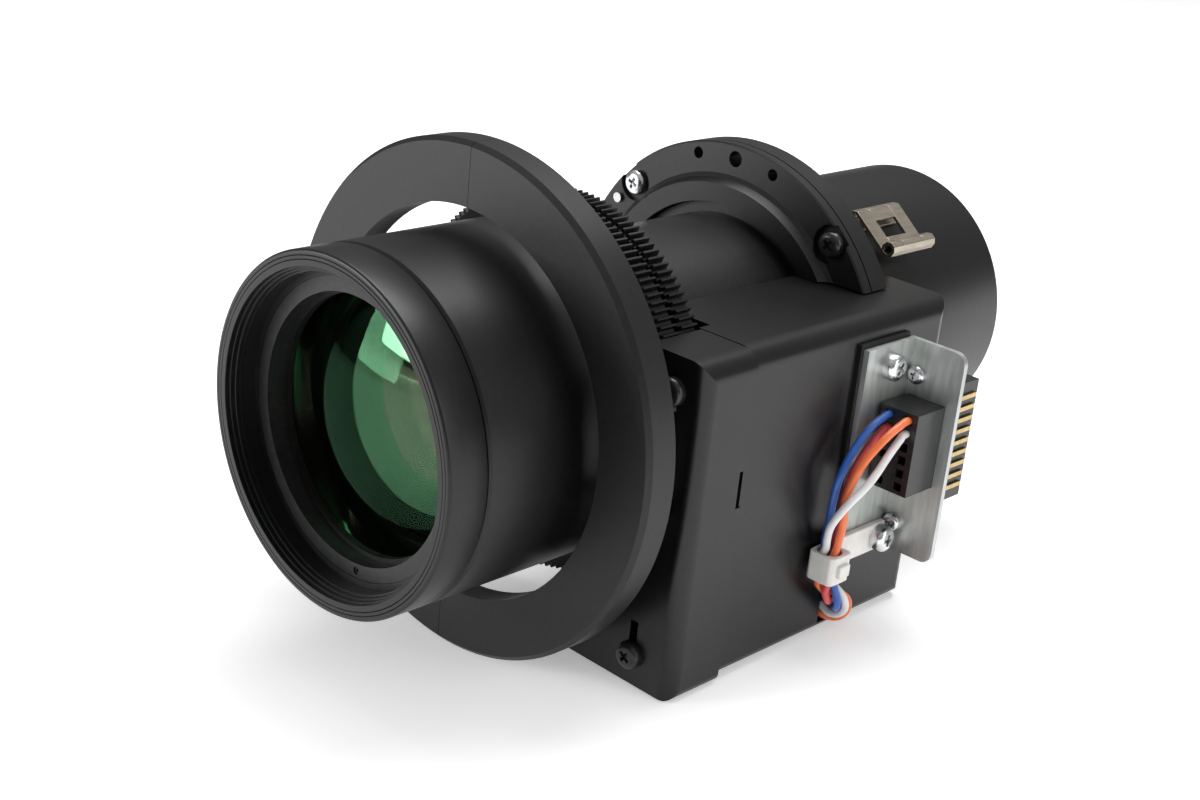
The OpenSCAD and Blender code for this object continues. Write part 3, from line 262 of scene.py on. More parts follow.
class Palette:
    """Every finish of the lens, made once and shared."""

    KINDS = (
        Finish("satin black anodising", (0.0028, 0.0028, 0.003), (0.0045, 0.0045, 0.0048), 0.38, 0.04, relief=0.04,
               specular=0.38),
        Finish("matte black moulding", (0.004, 0.004, 0.0043), (0.0065, 0.0065, 0.007), 0.44, 0.05, relief=0.06,
               specular=0.42),
        Finish("black sheet cover", (0.003, 0.003, 0.0032), (0.005, 0.005, 0.0055), 0.33, 0.05, relief=0.05,
               specular=0.42),
        Finish("black tooth acetal", (0.004, 0.004, 0.004), (0.006, 0.006, 0.006), 0.40, specular=0.4),
        Finish("dark inner ring", (0.002, 0.002, 0.002), (0.004, 0.004, 0.004), 0.5, specular=0.3),
        Finish("turned grey anodising", (0.012, 0.012, 0.013), (0.02, 0.02, 0.021), 0.38, metallic=0.3),
        Finish("dull dark barrel", (0.006, 0.006, 0.0065), (0.010, 0.010, 0.011), 0.40, metallic=0.15, specular=0.45),
        Finish("machined aluminium", (0.42, 0.42, 0.43), (0.55, 0.55, 0.56), 0.32, metallic=1.0),
        Finish("zinc plate", (0.46, 0.48, 0.47), (0.60, 0.62, 0.60), 0.40, metallic=0.85, grain=700, relief=0.05,
               stretch=(1, 1, 0.15)),
        Finish("bright nickel", (0.62, 0.63, 0.64), (0.74, 0.75, 0.76), 0.22, metallic=1.0),
        Finish("black oxide screw", (0.012, 0.012, 0.012), (0.02, 0.02, 0.02), 0.3),
        Finish("champagne spring strip", (0.40, 0.35, 0.28), (0.50, 0.44, 0.36), 0.3, metallic=0.9,
               stretch=(1, 0.2, 1)),
        Finish("white nylon", (0.74, 0.73, 0.70), (0.82, 0.81, 0.78), 0.45, grain=300, glow_through=0.25),
        Finish("cream acetal", (0.55, 0.52, 0.45), (0.62, 0.60, 0.53), 0.4),
        Finish("glossy black plug", (0.008, 0.008, 0.008), (0.012, 0.012, 0.012), 0.3),
        Finish("gold plate", (0.50, 0.36, 0.16), (0.62, 0.46, 0.22), 0.35, metallic=1.0),
        Finish("green board", (0.01, 0.09, 0.04), (0.02, 0.13, 0.06), 0.35),
        Finish("blue lead", (0.02, 0.10, 0.42), (0.03, 0.13, 0.50), 0.38, coat=0.2, grain=300),
        Finish("orange lead", (0.80, 0.16, 0.04), (0.88, 0.20, 0.06), 0.38, coat=0.2, grain=300),
        Finish("red lead", (0.62, 0.06, 0.07), (0.72, 0.09, 0.09), 0.38, coat=0.2, grain=300),
        Finish("white lead", (0.72, 0.72, 0.73), (0.82, 0.82, 0.82), 0.38, coat=0.2, grain=300),
        CoatedGlass("front coated glass", (0.94, 0.95, 0.90), (0.14, 0.36, 0.20), 0.55),
        CoatedGlass("second coated glass", (0.95, 0.93, 0.90), (0.90, 0.34, 0.55), 2.0, 0.03),
        CoatedGlass("green coated glass", (0.95, 0.95, 0.90), (0.34, 0.62, 0.36), 1.5, 0.03),
        CoatedGlass("amber coated glass", (0.95, 0.92, 0.84), (0.74, 0.62, 0.36), 2.0, 0.04),
    )

    def __init__(self) -> None:
        """Makes all the materials."""
        self.made = {kind.name: kind.make() for kind in self.KINDS}

    def __getitem__(self, name: str) -> bpy.types.Material:
        """Returns a finish by its name.

        Args:
            name: the finish's name.
        Returns:
            The material.
        """
        return self.made[name]


NODE_FINISH: dict[str, tuple[str, ...]] = {
    "satin black anodising": ("front_hood", "front_barrel", "rear_barrel"),
    "matte black moulding": ("ring_half_left", "ring_half_right", "ring_posts", "gear_stop_rings"),
    "black sheet cover": ("front_cover", "side_cover"),
    "black tooth acetal": ("focus_gear_ring", "zoom_gear_ring"),
    "dark inner ring": ("glass_seat_ring", "glass_spacer", "focus_dogs", "exit_trap_ring", "front_zoom_cell",
                        "rear_zoom_cell", "relay_cell", "insulating_strip"),
    "turned grey anodising": ("glass_trap_ring",),
    "dull dark barrel": ("fixed_barrel", "flange_front_plate", "flange_rear_plate", "zoom_cam_ring"),
    "machined aluminium": ("ring_carrier", "drive_plate", "focus_motor", "zoom_motor", "zoom_keys",
                           "flange_dowel"),
    "zinc plate": ("connector_bracket",),
    "bright nickel": ("flange_screws", "bracket_screws", "spring_washers", "connector_screws", "front_cam_pins",
                      "rear_cam_pins"),
    "black oxide screw": ("trap_set_screw", "flange_black_screw", "cover_screws", "top_screw"),
    "champagne spring strip": ("rear_latch",),
    "white nylon": ("cable_clamp",),
    "cream acetal": ("focus_pinion", "zoom_pinion"),
    "glossy black plug": ("limit_switches", "connector_plug", "connector_socket"),
    "gold plate": ("contact_fingers",),
    "green board": ("wiring_board",),
    "blue lead": ("lead_blue",),
    "orange lead": ("lead_orange",),
    "red lead": ("lead_red",),
    "white lead": ("lead_white",),
    "front coated glass": ("front_glass", "exit_glass"),
    "second coated glass": ("second_glass",),
    "green coated glass": ("front_zoom_glass", "rear_zoom_glass"),
    "amber coated glass": ("relay_glass",),
}


# Mesh building

BEVEL_STEPS = 3
BEVEL_ANGLE = 40
TUBE_SEED = (0.3, 0.9, 0.1)
CENTRE_RADIUS = 0.02


class Builder:
    """Gathers bmesh geometry in millimetres of the lens's frame and turns it into one piece."""

    def __init__(self, name: str, palette: Palette) -> None:
        """Starts an empty piece.

        Args:
            name: the piece's name.
            palette: the finishes to draw from.
        """
        self.name = name
        self.palette = palette
        self.mesh = bmesh.new()

    def grid(self, rows: Sequence[Sequence[Vector]], round_rows: bool,
             round_columns: bool) -> list[list[bmesh.types.BMVert]]:
        """Skins a grid of points with quads.

        Args:
            rows: points in metres, row by row.
            round_rows: whether each row closes on itself.
            round_columns: whether the last row joins the first.
        Returns:
            The corners, row by row.
        """
        verts = [[self.mesh.verts.new(p) for p in row] for row in rows]
        n, m = len(verts), len(verts[0])
        for i in range(n if round_columns else n - 1):
            for k in range(m if round_rows else m - 1):
                a, b = verts[i], verts[(i + 1) % n]
                self.mesh.faces.new((a[k], a[(k + 1) % m], b[(k + 1) % m], b[k]))
        return verts

    def turned(self, profile: Profile, sides: int = 160, closed: bool = True) -> None:
        """Adds a body of revolution round the optical axis.

        Args:
            profile: radius and height pairs in millimetres.
            sides: facets round the axis.
            closed: whether the profile closes on itself.
        """
        rows = []
        for radius, height in profile:
            angles = (2 * math.pi * k / sides for k in range(sides))
            rows.append([lens_to_world(radius * math.cos(a), radius * math.sin(a), height) for a in angles])
        self.grid(rows, True, closed)

    def tube(self, path: Sequence[Vector], radius: float, sides: int = 16) -> None:
        """Adds a round tube along a path, with flat capped ends.

        Args:
            path: points in metres.
            radius: the tube's radius in millimetres.
            sides: facets round the tube.
        """
        rows = []
        lead = Vector(TUBE_SEED)
        for i, place in enumerate(path):
            along = (path[min(i + 1, len(path) - 1)] - path[max(i - 1, 0)]).normalized()
            side = along.cross(lead).normalized()
            lead = side.cross(along)
            up = along.cross(side)
            rows.append([place + (side * math.cos(a) + up * math.sin(a)) * radius * MM
                         for a in (2 * math.pi * k / sides for k in range(sides))])
        verts = self.grid(rows, True, False)
        self.mesh.faces.new(verts[0])
        self.mesh.faces.new(verts[-1])

    def block(self, low: Point, high: Point) -> None:
        """Adds a block given by two corners in the lens's frame.

        Args:
            low: the low corner in millimetres.
            high: the high corner in millimetres.
        """
        corners = [self.mesh.verts.new(lens_to_world(x, y, h))
                   for x in (low[0], high[0]) for y in (low[1], high[1]) for h in (low[2], high[2])]
        for f in ((0, 1, 3, 2), (4, 6, 7, 5), (0, 4, 5, 1), (2, 3, 7, 6), (0, 2, 6, 4), (1, 5, 7, 3)):
            self.mesh.faces.new([corners[i] for i in f])

    def finish(self, finish: str, body: Body, replaces: Sequence[str] = (), bevel: float = 0.0,
               smooth: bool = True, crease: float = 35.0) -> bpy.types.Object:
        """Turns the gathered geometry into a piece that rides on a body.

        Args:
            finish: the finish's name.
            body: the body to ride on.
            replaces: nodes that the piece stands for.
            bevel: width of a rounding on sharp edges, in millimetres.
            smooth: whether the faces shade smoothly.
            crease: the angle over which an edge stays sharp, in degrees.
        Returns:
            The new object.
        """
        bmesh.ops.recalc_face_normals(self.mesh, faces=self.mesh.faces)
        data = bpy.data.meshes.new(self.name)
        self.mesh.to_mesh(data)
        self.mesh.free()
        piece = bpy.data.objects.new(self.name, data)
        bpy.context.scene.collection.objects.link(piece)
        data.materials.append(self.palette[finish])
        if smooth:
            data.shade_smooth()
            data.set_sharp_from_angle(angle=math.radians(crease))
        if bevel:
            edge = piece.modifiers.new("rounded edges", "BEVEL")
            edge.width = bevel * MM
            edge.segments = BEVEL_STEPS
            edge.limit_method = "ANGLE"
            edge.angle_limit = math.radians(BEVEL_ANGLE)
        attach(piece, body.value)
        if replaces:
            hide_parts(*replaces)
        LOG.info("built %s on %s", self.name, body.value)
        return piece


# The optics


@dataclass
class Optic:
    """One lens element with two spherical-looking faces and a ground edge."""

    name: str
    radius: float
    rear: float
    front: float
    front_rise: float
    rear_rise: float
    finish: str
    body: Body
    replaces: tuple[str, ...] = ()
    rings: int = 36

    def face(self, base: float, rise: float) -> list[tuple[float, float]]:
        """Works out one face's profile from the centre to the edge.

        Args:
            base: height of the face's edge in millimetres.
            rise: height of the centre over the edge.
        Returns:
            Radius and height pairs.
        """
        steps = [i / self.rings for i in range(self.rings + 1)]
        return [(max(self.radius * t, CENTRE_RADIUS), base + rise * (1 - t * t)) for t in steps]

    def build(self, palette: Palette) -> bpy.types.Object:
        """Builds the element.

        Args:
            palette: the finishes.
        Returns:
            The piece.
        """
        b = Builder(self.name, palette)
        b.turned(self.face(self.front, self.front_rise) + self.face(self.rear, self.rear_rise)[::-1])
        return b.finish(self.finish, self.body, self.replaces, crease=30)


@dataclass
class OpticalTrain:
    """The glasses that show through the front element."""

    elements: tuple[Optic, ...] = (
        Optic("front_element", 26.9, 94.8, 98.9, 7.2, 6.0, "front coated glass", Body.FOCUS_BARREL,
              ("front_glass",)),
        Optic("second_element", 26.9, 85.0, 88.4, 7.6, 3.0, "second coated glass", Body.FOCUS_BARREL,
              ("second_glass",)),
        Optic("zoom_element_front", 19.4, 66.8, 72.0, 4.6, 0.5, "amber coated glass", Body.ZOOM_FRONT,
              ("front_zoom_glass",)),
        Optic("zoom_element_rear", 19.4, 62.0, 65.2, 1.0, -1.5, "green coated glass", Body.ZOOM_FRONT),
    )

    def build(self, palette: Palette) -> None:
        """Builds every element.

        Args:
            palette: the finishes.
        """
        for element in self.elements:
            element.build(palette)


# The front barrel


@dataclass
class FrontHood:
    """The hood at the front, with its ridged face and rounded rims."""

    rim: float = 112.0
    radius: float = 33.5
    back: float = 103.4
    mouth: float = 29.2
    seat: float = 106.2
    bore: float = 28.05
    spigot: float = 29.95
    spigot_back: float = 99.2
    ridges: int = 3
    ridge_step: float = 0.4
    ridge_height: float = 0.9
    lip: float = 0.6
    lip_steps: int = 5
    chamfer: float = 0.45
    chamfer_cut: float = 0.13
    grooves: int = 2
    groove_inset: float = 1.1
    groove_step: float = 0.75
    groove_half: float = 0.12
    groove_depth: float = 0.14
    ridge_chamfer: float = 0.08

    def profile(self) -> list[tuple[float, float]]:
        """Works out the hood's turned section.

        Returns:
            Radius and height pairs.
        """
        soft = [(self.radius - self.lip + self.lip * math.sin(a), self.rim - self.lip + self.lip * math.cos(a))
                for a in (math.pi / 2 * k / self.lip_steps for k in range(self.lip_steps, -1, -1))]
        points = [(self.bore, self.spigot_back), (self.spigot, self.spigot_back), (self.spigot, self.back),
                  (self.radius - self.chamfer, self.back),
                  (self.radius - self.chamfer_cut, self.back + self.chamfer_cut),
                  (self.radius, self.back + self.chamfer), *soft]
        for groove in range(self.grooves):
            at = self.radius - self.groove_inset - groove * self.groove_step
            points += [(at + self.groove_half, self.rim), (at, self.rim - self.groove_depth),
                       (at - self.groove_half, self.rim)]
        for step in range(self.ridges, 0, -1):
            at = self.mouth + step * self.ridge_step
            deep = self.rim - (self.ridges - step) * self.ridge_height
            points += [(at + self.ridge_chamfer, deep), (at, deep - self.ridge_chamfer),
                       (at, deep - self.ridge_height)]
        points += [(self.mouth, self.rim - self.ridges * self.ridge_height), (self.mouth, self.seat),
                   (self.bore, self.seat)]
        return points

    def build(self, palette: Palette) -> None:
        """Builds the hood.

        Args:
            palette: the finishes.
        """
        b = Builder("ridged_hood", palette)
        b.turned(self.profile(), 192)
        b.finish("satin black anodising", Body.FOCUS_BARREL, ("front_hood",), crease=25)


REAR_SLEEVE: Profile = ((27.06, 0), (27.06, 5), (30, 5), (30, -56.7), (29.8, -57.3), (29.2, -57.5), (27, -57.5),
                        (27, 0))


@dataclass
class SmoothBarrel:
    """A plain turned barrel drawn with a fine outline."""

    name: str
    profile: Profile
    body: Body
    finish: str
    replaces: tuple[str, ...]

    def build(self, palette: Palette) -> None:
        """Builds the barrel.

        Args:
            palette: the finishes.
        """
        b = Builder(self.name, palette)
        b.turned(self.profile, 192)
        b.finish(self.finish, self.body, self.replaces, crease=25)


# Screws

FRONT: Point = (0, 0, 1)
SIDE: Point = (1, 0, 0)
TOP: Point = (0, 1, 0)
SMALL_HEAD = (1.93, 1.4)


@dataclass
class PanScrew:
    """A pan-head screw with a cross recess."""

    DOME: ClassVar[Profile] = ((1.0, 0.0), (1.0, 0.45), (0.93, 0.75), (0.78, 0.92), (0.55, 1.0))
    SIDES: ClassVar[int] = 48
    ARM_SHARE: ClassVar[float] = 0.13
    REACH_SHARE: ClassVar[float] = 0.47
    DEPTH_SHARE: ClassVar[float] = 0.45
    TAPER: ClassVar[float] = 0.8

    name: str
    place: Point
    out: Point
    finish: str
    radius: float = 2.75
    height: float = 2.0
    turn: float = 20.0
    replaces: str = ""

    def basis(self) -> Matrix:
        """Works out the matrix from the screw's own frame to the stored frame.

        Returns:
            A matrix whose Z is the screw's outward direction.
        """
        z = Vector((self.out[0], -self.out[2], self.out[1])).normalized()
        x = z.orthogonal().normalized()
        y = z.cross(x)
        turn = Matrix.Rotation(math.radians(self.turn), 4, "Z")
        frame_matrix = Matrix((x, y, z)).transposed().to_4x4()
        frame_matrix.translation = lens_to_world(*self.place)
        return frame_matrix @ turn

    def build(self, palette: Palette) -> bpy.types.Object:
        """Builds the head as a domed disc with the cross cut in.

        Args:
            palette: the finishes.
        Returns:
            The piece.
        """
        b = Builder(self.name, palette)
        place = self.basis()
        rows = []
        for share, rise in self.DOME:
            r = self.radius * share
            rows.append([place @ (Vector((r * math.cos(a), r * math.sin(a), self.height * rise)) * MM)
                         for a in (2 * math.pi * k / self.SIDES for k in range(self.SIDES))])
        verts = b.grid(rows, True, False)
        b.mesh.faces.new(verts[0])
        self.cross(b, place, verts[-1])
        return b.finish(self.finish, Body.BASE, (self.replaces,) if self.replaces else (), crease=50)

    def cross(self, b: Builder, place: Matrix, rim: list[bmesh.types.BMVert]) -> None:
        """Adds the head's top with its four-armed recess.

        Args:
            b: the piece under way.
            place: the screw's matrix.
            rim: the corners of the dome's last ring.
        """
        arm, reach = self.radius * self.ARM_SHARE, self.radius * self.REACH_SHARE
        floor = self.height * (1 - self.DEPTH_SHARE)
        corner = [(reach, -arm), (reach, arm), (arm, arm), (arm, reach), (-arm, reach), (-arm, arm), (-reach, arm),
                  (-reach, -arm), (-arm, -arm), (-arm, -reach), (arm, -reach), (arm, -arm)]
        top = [b.mesh.verts.new(place @ (Vector((x, y, self.height)) * MM)) for x, y in corner]
        low = [b.mesh.verts.new(place @ (Vector((x * self.TAPER, y * self.TAPER, floor)) * MM)) for x, y in corner]
        n = len(corner)
        for i in range(n):
            k = (i + 1) % n
            b.mesh.faces.new((top[i], top[k], low[k], low[i]))
        b.mesh.faces.new(low)
        edges = [b.mesh.edges.get((loop[i], loop[(i + 1) % len(loop)])) for loop in (rim, top)
                 for i in range(len(loop))]
        bmesh.ops.triangle_fill(b.mesh, use_beauty=True, use_dissolve=False, edges=edges)


@dataclass
class ScrewSet:
    """All the screws that show, in the place of the frame's plainer ones."""

    screws: tuple[PanScrew, ...] = (
        PanScrew("cover_screw_upper", (40.5, 13.2, 67.0), FRONT, "black oxide screw", turn=35,
                 replaces="cover_screws"),
        PanScrew("cover_screw_lower", (37.5, -41.0, 67.0), FRONT, "black oxide screw", turn=10),
        PanScrew("bracket_screw_upper", (49.8, 10.3, 13.6), SIDE, "bright nickel", turn=12,
                 replaces="bracket_screws"),
        PanScrew("bracket_screw_lower", (51.2, -27.0, 10.0), SIDE, "bright nickel", turn=40),
        PanScrew("flange_screw_left", (*polar(38.6, 135), 6.7), FRONT, "bright nickel", turn=25,
                 replaces="flange_screws"),
        PanScrew("flange_screw_low", (*polar(38.6, 225), 6.7), FRONT, "bright nickel", turn=70),
        PanScrew("flange_screw_black", (*polar(38.6, 46), 6.7), FRONT, "black oxide screw", turn=5,
                 replaces="flange_black_screw"),
        PanScrew("connector_screw_upper", (51.0, 7.5, 6.0), FRONT, "bright nickel", *SMALL_HEAD, 30,
                 "connector_screws"),
        PanScrew("connector_screw_lower", (51.0, -24.4, 6.0), FRONT, "bright nickel", *SMALL_HEAD, 55),
        PanScrew("box_screw_top", (30.0, 20.0, -4.4), TOP, "black oxide screw", *SMALL_HEAD, 15, "top_screw"),
    )

    def build(self, palette: Palette) -> None:
        """Builds every screw's head.

        Args:
            palette: the finishes.
        """
        for screw in self.screws:
            screw.build(palette)


@dataclass
class SpringLatch:
    """The sprung catch on the rear barrel: a folded strip with a window and a rolled lip."""

    angle: float = 51.0
    front: float = -14.0
    length: float = 15.0
    width: float = 12.4
    foot: float = 30.1
    rise: float = 3.5
    thickness: float = 0.8
    window: float = 4.4
    window_length: float = 7.0
    roll: float = 1.45
    foot_share: float = 0.35
    foot_round: float = 0.5
    top_round: float = 0.7
    roll_flat: float = 0.9
    roll_points: int = 9
    roll_step: float = 40.0

    def outline(self) -> list[tuple[float, float]]:
        """Works out the strip's section across the barrel: radial and sideways places.

        Returns:
            The strip's middle line.
        """
        half = self.width / 2 - self.thickness / 2
        foot, top = self.foot + self.thickness / 2, self.foot + self.rise - self.thickness / 2
        line = [(foot, half * self.foot_share), (foot, half - self.foot_round), (foot + self.foot_round, half),
                (top - self.top_round, half), (top, half - self.top_round), (top, 0.0), (top, -half + self.roll)]
        flat = self.roll * self.roll_flat
        for k in range(self.roll_points):
            a = math.radians(90 + self.roll_step * k)
            line.append((top + self.roll - self.roll * math.sin(a), -half + self.roll - flat + flat * math.cos(a)))
        return line

    def build(self, palette: Palette) -> None:
        """Builds the latch.

        Args:
            palette: the finishes.
        """
        b = Builder("sprung_catch", palette)
        turn = Matrix.Rotation(math.radians(self.angle), 3, "Z")
        line = self.outline()
        back = self.front - self.length
        mid0 = self.front - (self.length - self.window_length) / 2
        mid1 = back + (self.length - self.window_length) / 2
        self.strip(b, turn, line, mid0, self.front)
        self.strip(b, turn, line, back, mid1)
        beside = self.window / 2 - self.thickness / 2
        left = [p for p in line if p[1] > beside]
        right = [p for p in line if p[1] < -beside]
        top = self.foot + self.rise - self.thickness / 2
        self.strip(b, turn, left + [(top, self.window / 2)], mid1, mid0)
        self.strip(b, turn, [(top, -self.window / 2)] + right, mid1, mid0)
        b.finish("champagne spring strip", Body.BASE, ("rear_latch",), bevel=0.12)

    def strip(self, b: Builder, turn: Matrix, line: Sequence[tuple[float, float]], low: float, high: float) -> None:
        """Adds a length of the folded strip with its thickness.

        Args:
            b: the piece under way.
            turn: the rotation to the latch's angle.
            line: the strip's middle line.
            low: the rear end's height.
            high: the front end's height.
        """
        rows = []
        for i, (r, w) in enumerate(line):
            r0, w0 = line[max(i - 1, 0)]
            r1, w1 = line[min(i + 1, len(line) - 1)]
            along = Vector((r1 - r0, w1 - w0)).normalized() * self.thickness / 2
            ring = ((r - along.y, w + along.x, low), (r + along.y, w - along.x, low),
                    (r + along.y, w - along.x, high), (r - along.y, w + along.x, high))
            rows.append([lens_to_world(*(turn @ Vector(p))) for p in ring])
        verts = b.grid(rows, True, False)
        b.mesh.faces.new(verts[0])
        b.mesh.faces.new(verts[-1])


@dataclass
class CableClamp:
    """The white nylon tie: a flat arm under the screw and a square head round the leads."""

    arm_low: Point = (49.0, -30.0, 7.8)
    arm_high: Point = (50.4, -24.0, 24.2)
    head: Point = (50.8, -28.5, 26.3)
    half: float = 3.2
    bore: float = 2.45
    bore_x: float = 50.6
    depth: float = 6.0
    sides: int = 24
    squareness: float = 8.0
    catch_out: float = 0.9
    catch_sunk: float = 0.3
    catch_half: tuple[float, float] = (1.3, 1.6)

    def build(self, palette: Palette) -> None:
        """Builds the arm and the head.

        Args:
            palette: the finishes.
        """
        b = Builder("nylon_tie", palette)
        b.block(self.arm_low, self.arm_high)
        x, y, h = self.head
        power = self.squareness
        rows = []
        for high in (y - self.depth / 2, y + self.depth / 2):
            outer, inner = [], []
            for k in range(self.sides):
                a = 2 * math.pi * (k + 0.5) / self.sides
                c, d = math.cos(a), math.sin(a)
                reach = (abs(c) ** power + abs(d) ** power) ** (-1 / power) * self.half
                outer.append(lens_to_world(x + reach * c, high, h + reach * d))
                inner.append(lens_to_world(self.bore_x + self.bore * c, high, h + self.bore * d))
            rows.append((outer, inner))
        b.grid([rows[0][0], rows[1][0], rows[1][1], rows[0][1]], True, True)
        wide, tall = self.catch_half
        near, far = x + self.half - self.catch_sunk, x + self.half + self.catch_out
        b.block((near, y - wide, h - tall), (far, y + wide, h + tall))
        b.finish("white nylon", Body.BASE, ("cable_clamp",), bevel=0.3)


# The harness


@dataclass
class Harness:
    """The four leads from the plug, through the clamp and into the box."""

    lead_radius: float = 0.79
    twist_radius: float = 1.48
    twist_pitch: float = 21.7
    trunk: tuple[Point, ...] = ((50.6, -24.6, 26.3), (50.6, -31.4, 26.3), (50.4, -34, 25), (51.2, -36.7, 22.9),
                                (50.8, -39.1, 19.8), (49.7, -41.2, 18.6), (48.1, -42.3, 18.5), (45.2, -42.4, 18.7))
    leads: dict[str, tuple[float, tuple[Point, ...]]] = field(default_factory=lambda: {
        "blue": (0, ((51.8, 1.4, 12.5), (51.8, 1.4, 15.8), (51.6, -0.4, 20.4), (51.2, -4.6, 24.6),
                     (50.7, -11, 27.4), (49.9, -19, 27), (49.2, -22.9, 26.4))),
        "orange": (180, ((56.2, 1.4, 12.5), (56.2, 1.4, 15.8), (55.8, -0.8, 20.8), (54.4, -6, 25.4),
                         (53, -13, 27), (52.8, -19, 26.5), (52.3, -22.9, 26.3))),
        "red": (90, ((51.8, -1.4, 12.5), (51.8, -1.4, 15.8), (51.7, -3.4, 19), (51.2, -8, 22.6),
                     (50.8, -14, 24.4), (50.7, -19, 24.6), (50.6, -22.9, 24.8))),
        "white": (270, ((56.2, -1.4, 12.5), (56.2, -1.4, 15.8), (56.6, -4, 20), (56.4, -9, 25),
                        (54.4, -14, 28.8), (51.8, -19, 28.9), (50.7, -22.9, 28))),
    })

    @staticmethod
    def smooth(points: Sequence[Vector], cuts: int) -> list[Vector]:
        """Runs a smooth curve through points.

        Args:
            points: the points to pass through.
            cuts: how many pieces each span gets.
        Returns:
            The finer points.
        """
        found = []
        last = len(points) - 1
        for i in range(last):
            a, b, c, d = (points[max(i - 1, 0)], points[i], points[i + 1], points[min(i + 2, last)])
            for k in range(cuts):
                t = k / cuts
                found.append(0.5 * (2 * b + (c - a) * t + (2 * a - 5 * b + 4 * c - d) * t * t
                                    + (3 * b - a - 3 * c + d) * t ** 3))
        return found + [points[last]]

    def laid(self, phase: float) -> list[Vector]:
        """Works out one lead's place in the twisted bundle.

        Args:
            phase: the lead's starting angle in degrees.
        Returns:
            Points in millimetres of the lens's frame.
        """
        path = self.smooth([Vector(p) for p in self.trunk], 3)
        found, length = [], 0.0
        for i, p in enumerate(path):
            length += (p - path[i - 1]).length if i else 0.0
            along = (path[min(i + 1, len(path) - 1)] - path[max(i - 1, 0)]).normalized()
            u = along.cross(Vector((0, 0, 1))).normalized()
            w = along.cross(u)
            a = math.radians(phase + length / self.twist_pitch * 360)
            found.append(p + self.twist_radius * (math.cos(a) * u + math.sin(a) * w))
        return found

    def build(self, palette: Palette) -> None:
        """Builds the four leads.

        Args:
            palette: the finishes.
        """
        for colour, (phase, route) in self.leads.items():
            first = [Vector(route[0])] + self.smooth([Vector(p) for p in route[1:]], 3)
            path = self.smooth(first + self.laid(phase), 3)
            b = Builder(f"{colour}_wire", palette)
            b.tube([lens_to_world(*p) for p in path], self.lead_radius, 18)
            b.finish(f"{colour} lead", Body.BASE, (f"lead_{colour}",), crease=60)


# Dressing of the frame's own nodes


class NodeDresser:
    """Gives every node of the frame its finish."""

    def dress(self, palette: Palette) -> None:
        """Assigns the materials.

        Args:
            palette: the finishes.
        """
        for finish, names in NODE_FINISH.items():
            for name in names:
                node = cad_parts[name]
                node.data.materials.clear()
                node.data.materials.append(palette[finish])
        LOG.info("dressed %d nodes", sum(len(n) for n in NODE_FINISH.values()))


# The studio


@dataclass(frozen=True)
class Softbox:
    """One rectangular lamp, placed in metres and measured in watts."""

    name: str
    place: Point
    aim: Point
    power: float
    size: tuple[float, float]

    def hang(self) -> None:
        """Hangs the lamp, facing its aim."""
        light = bpy.data.lights.new(self.name, "AREA")
        light.shape = "RECTANGLE"
        light.size, light.size_y = self.size
        light.energy = self.power
        holder = bpy.data.objects.new(self.name, light)
        holder.location = self.place
        holder.rotation_euler = (Vector(self.aim) - Vector(self.place)).to_track_quat("-Z", "Y").to_euler()
        bpy.context.scene.collection.objects.link(holder)


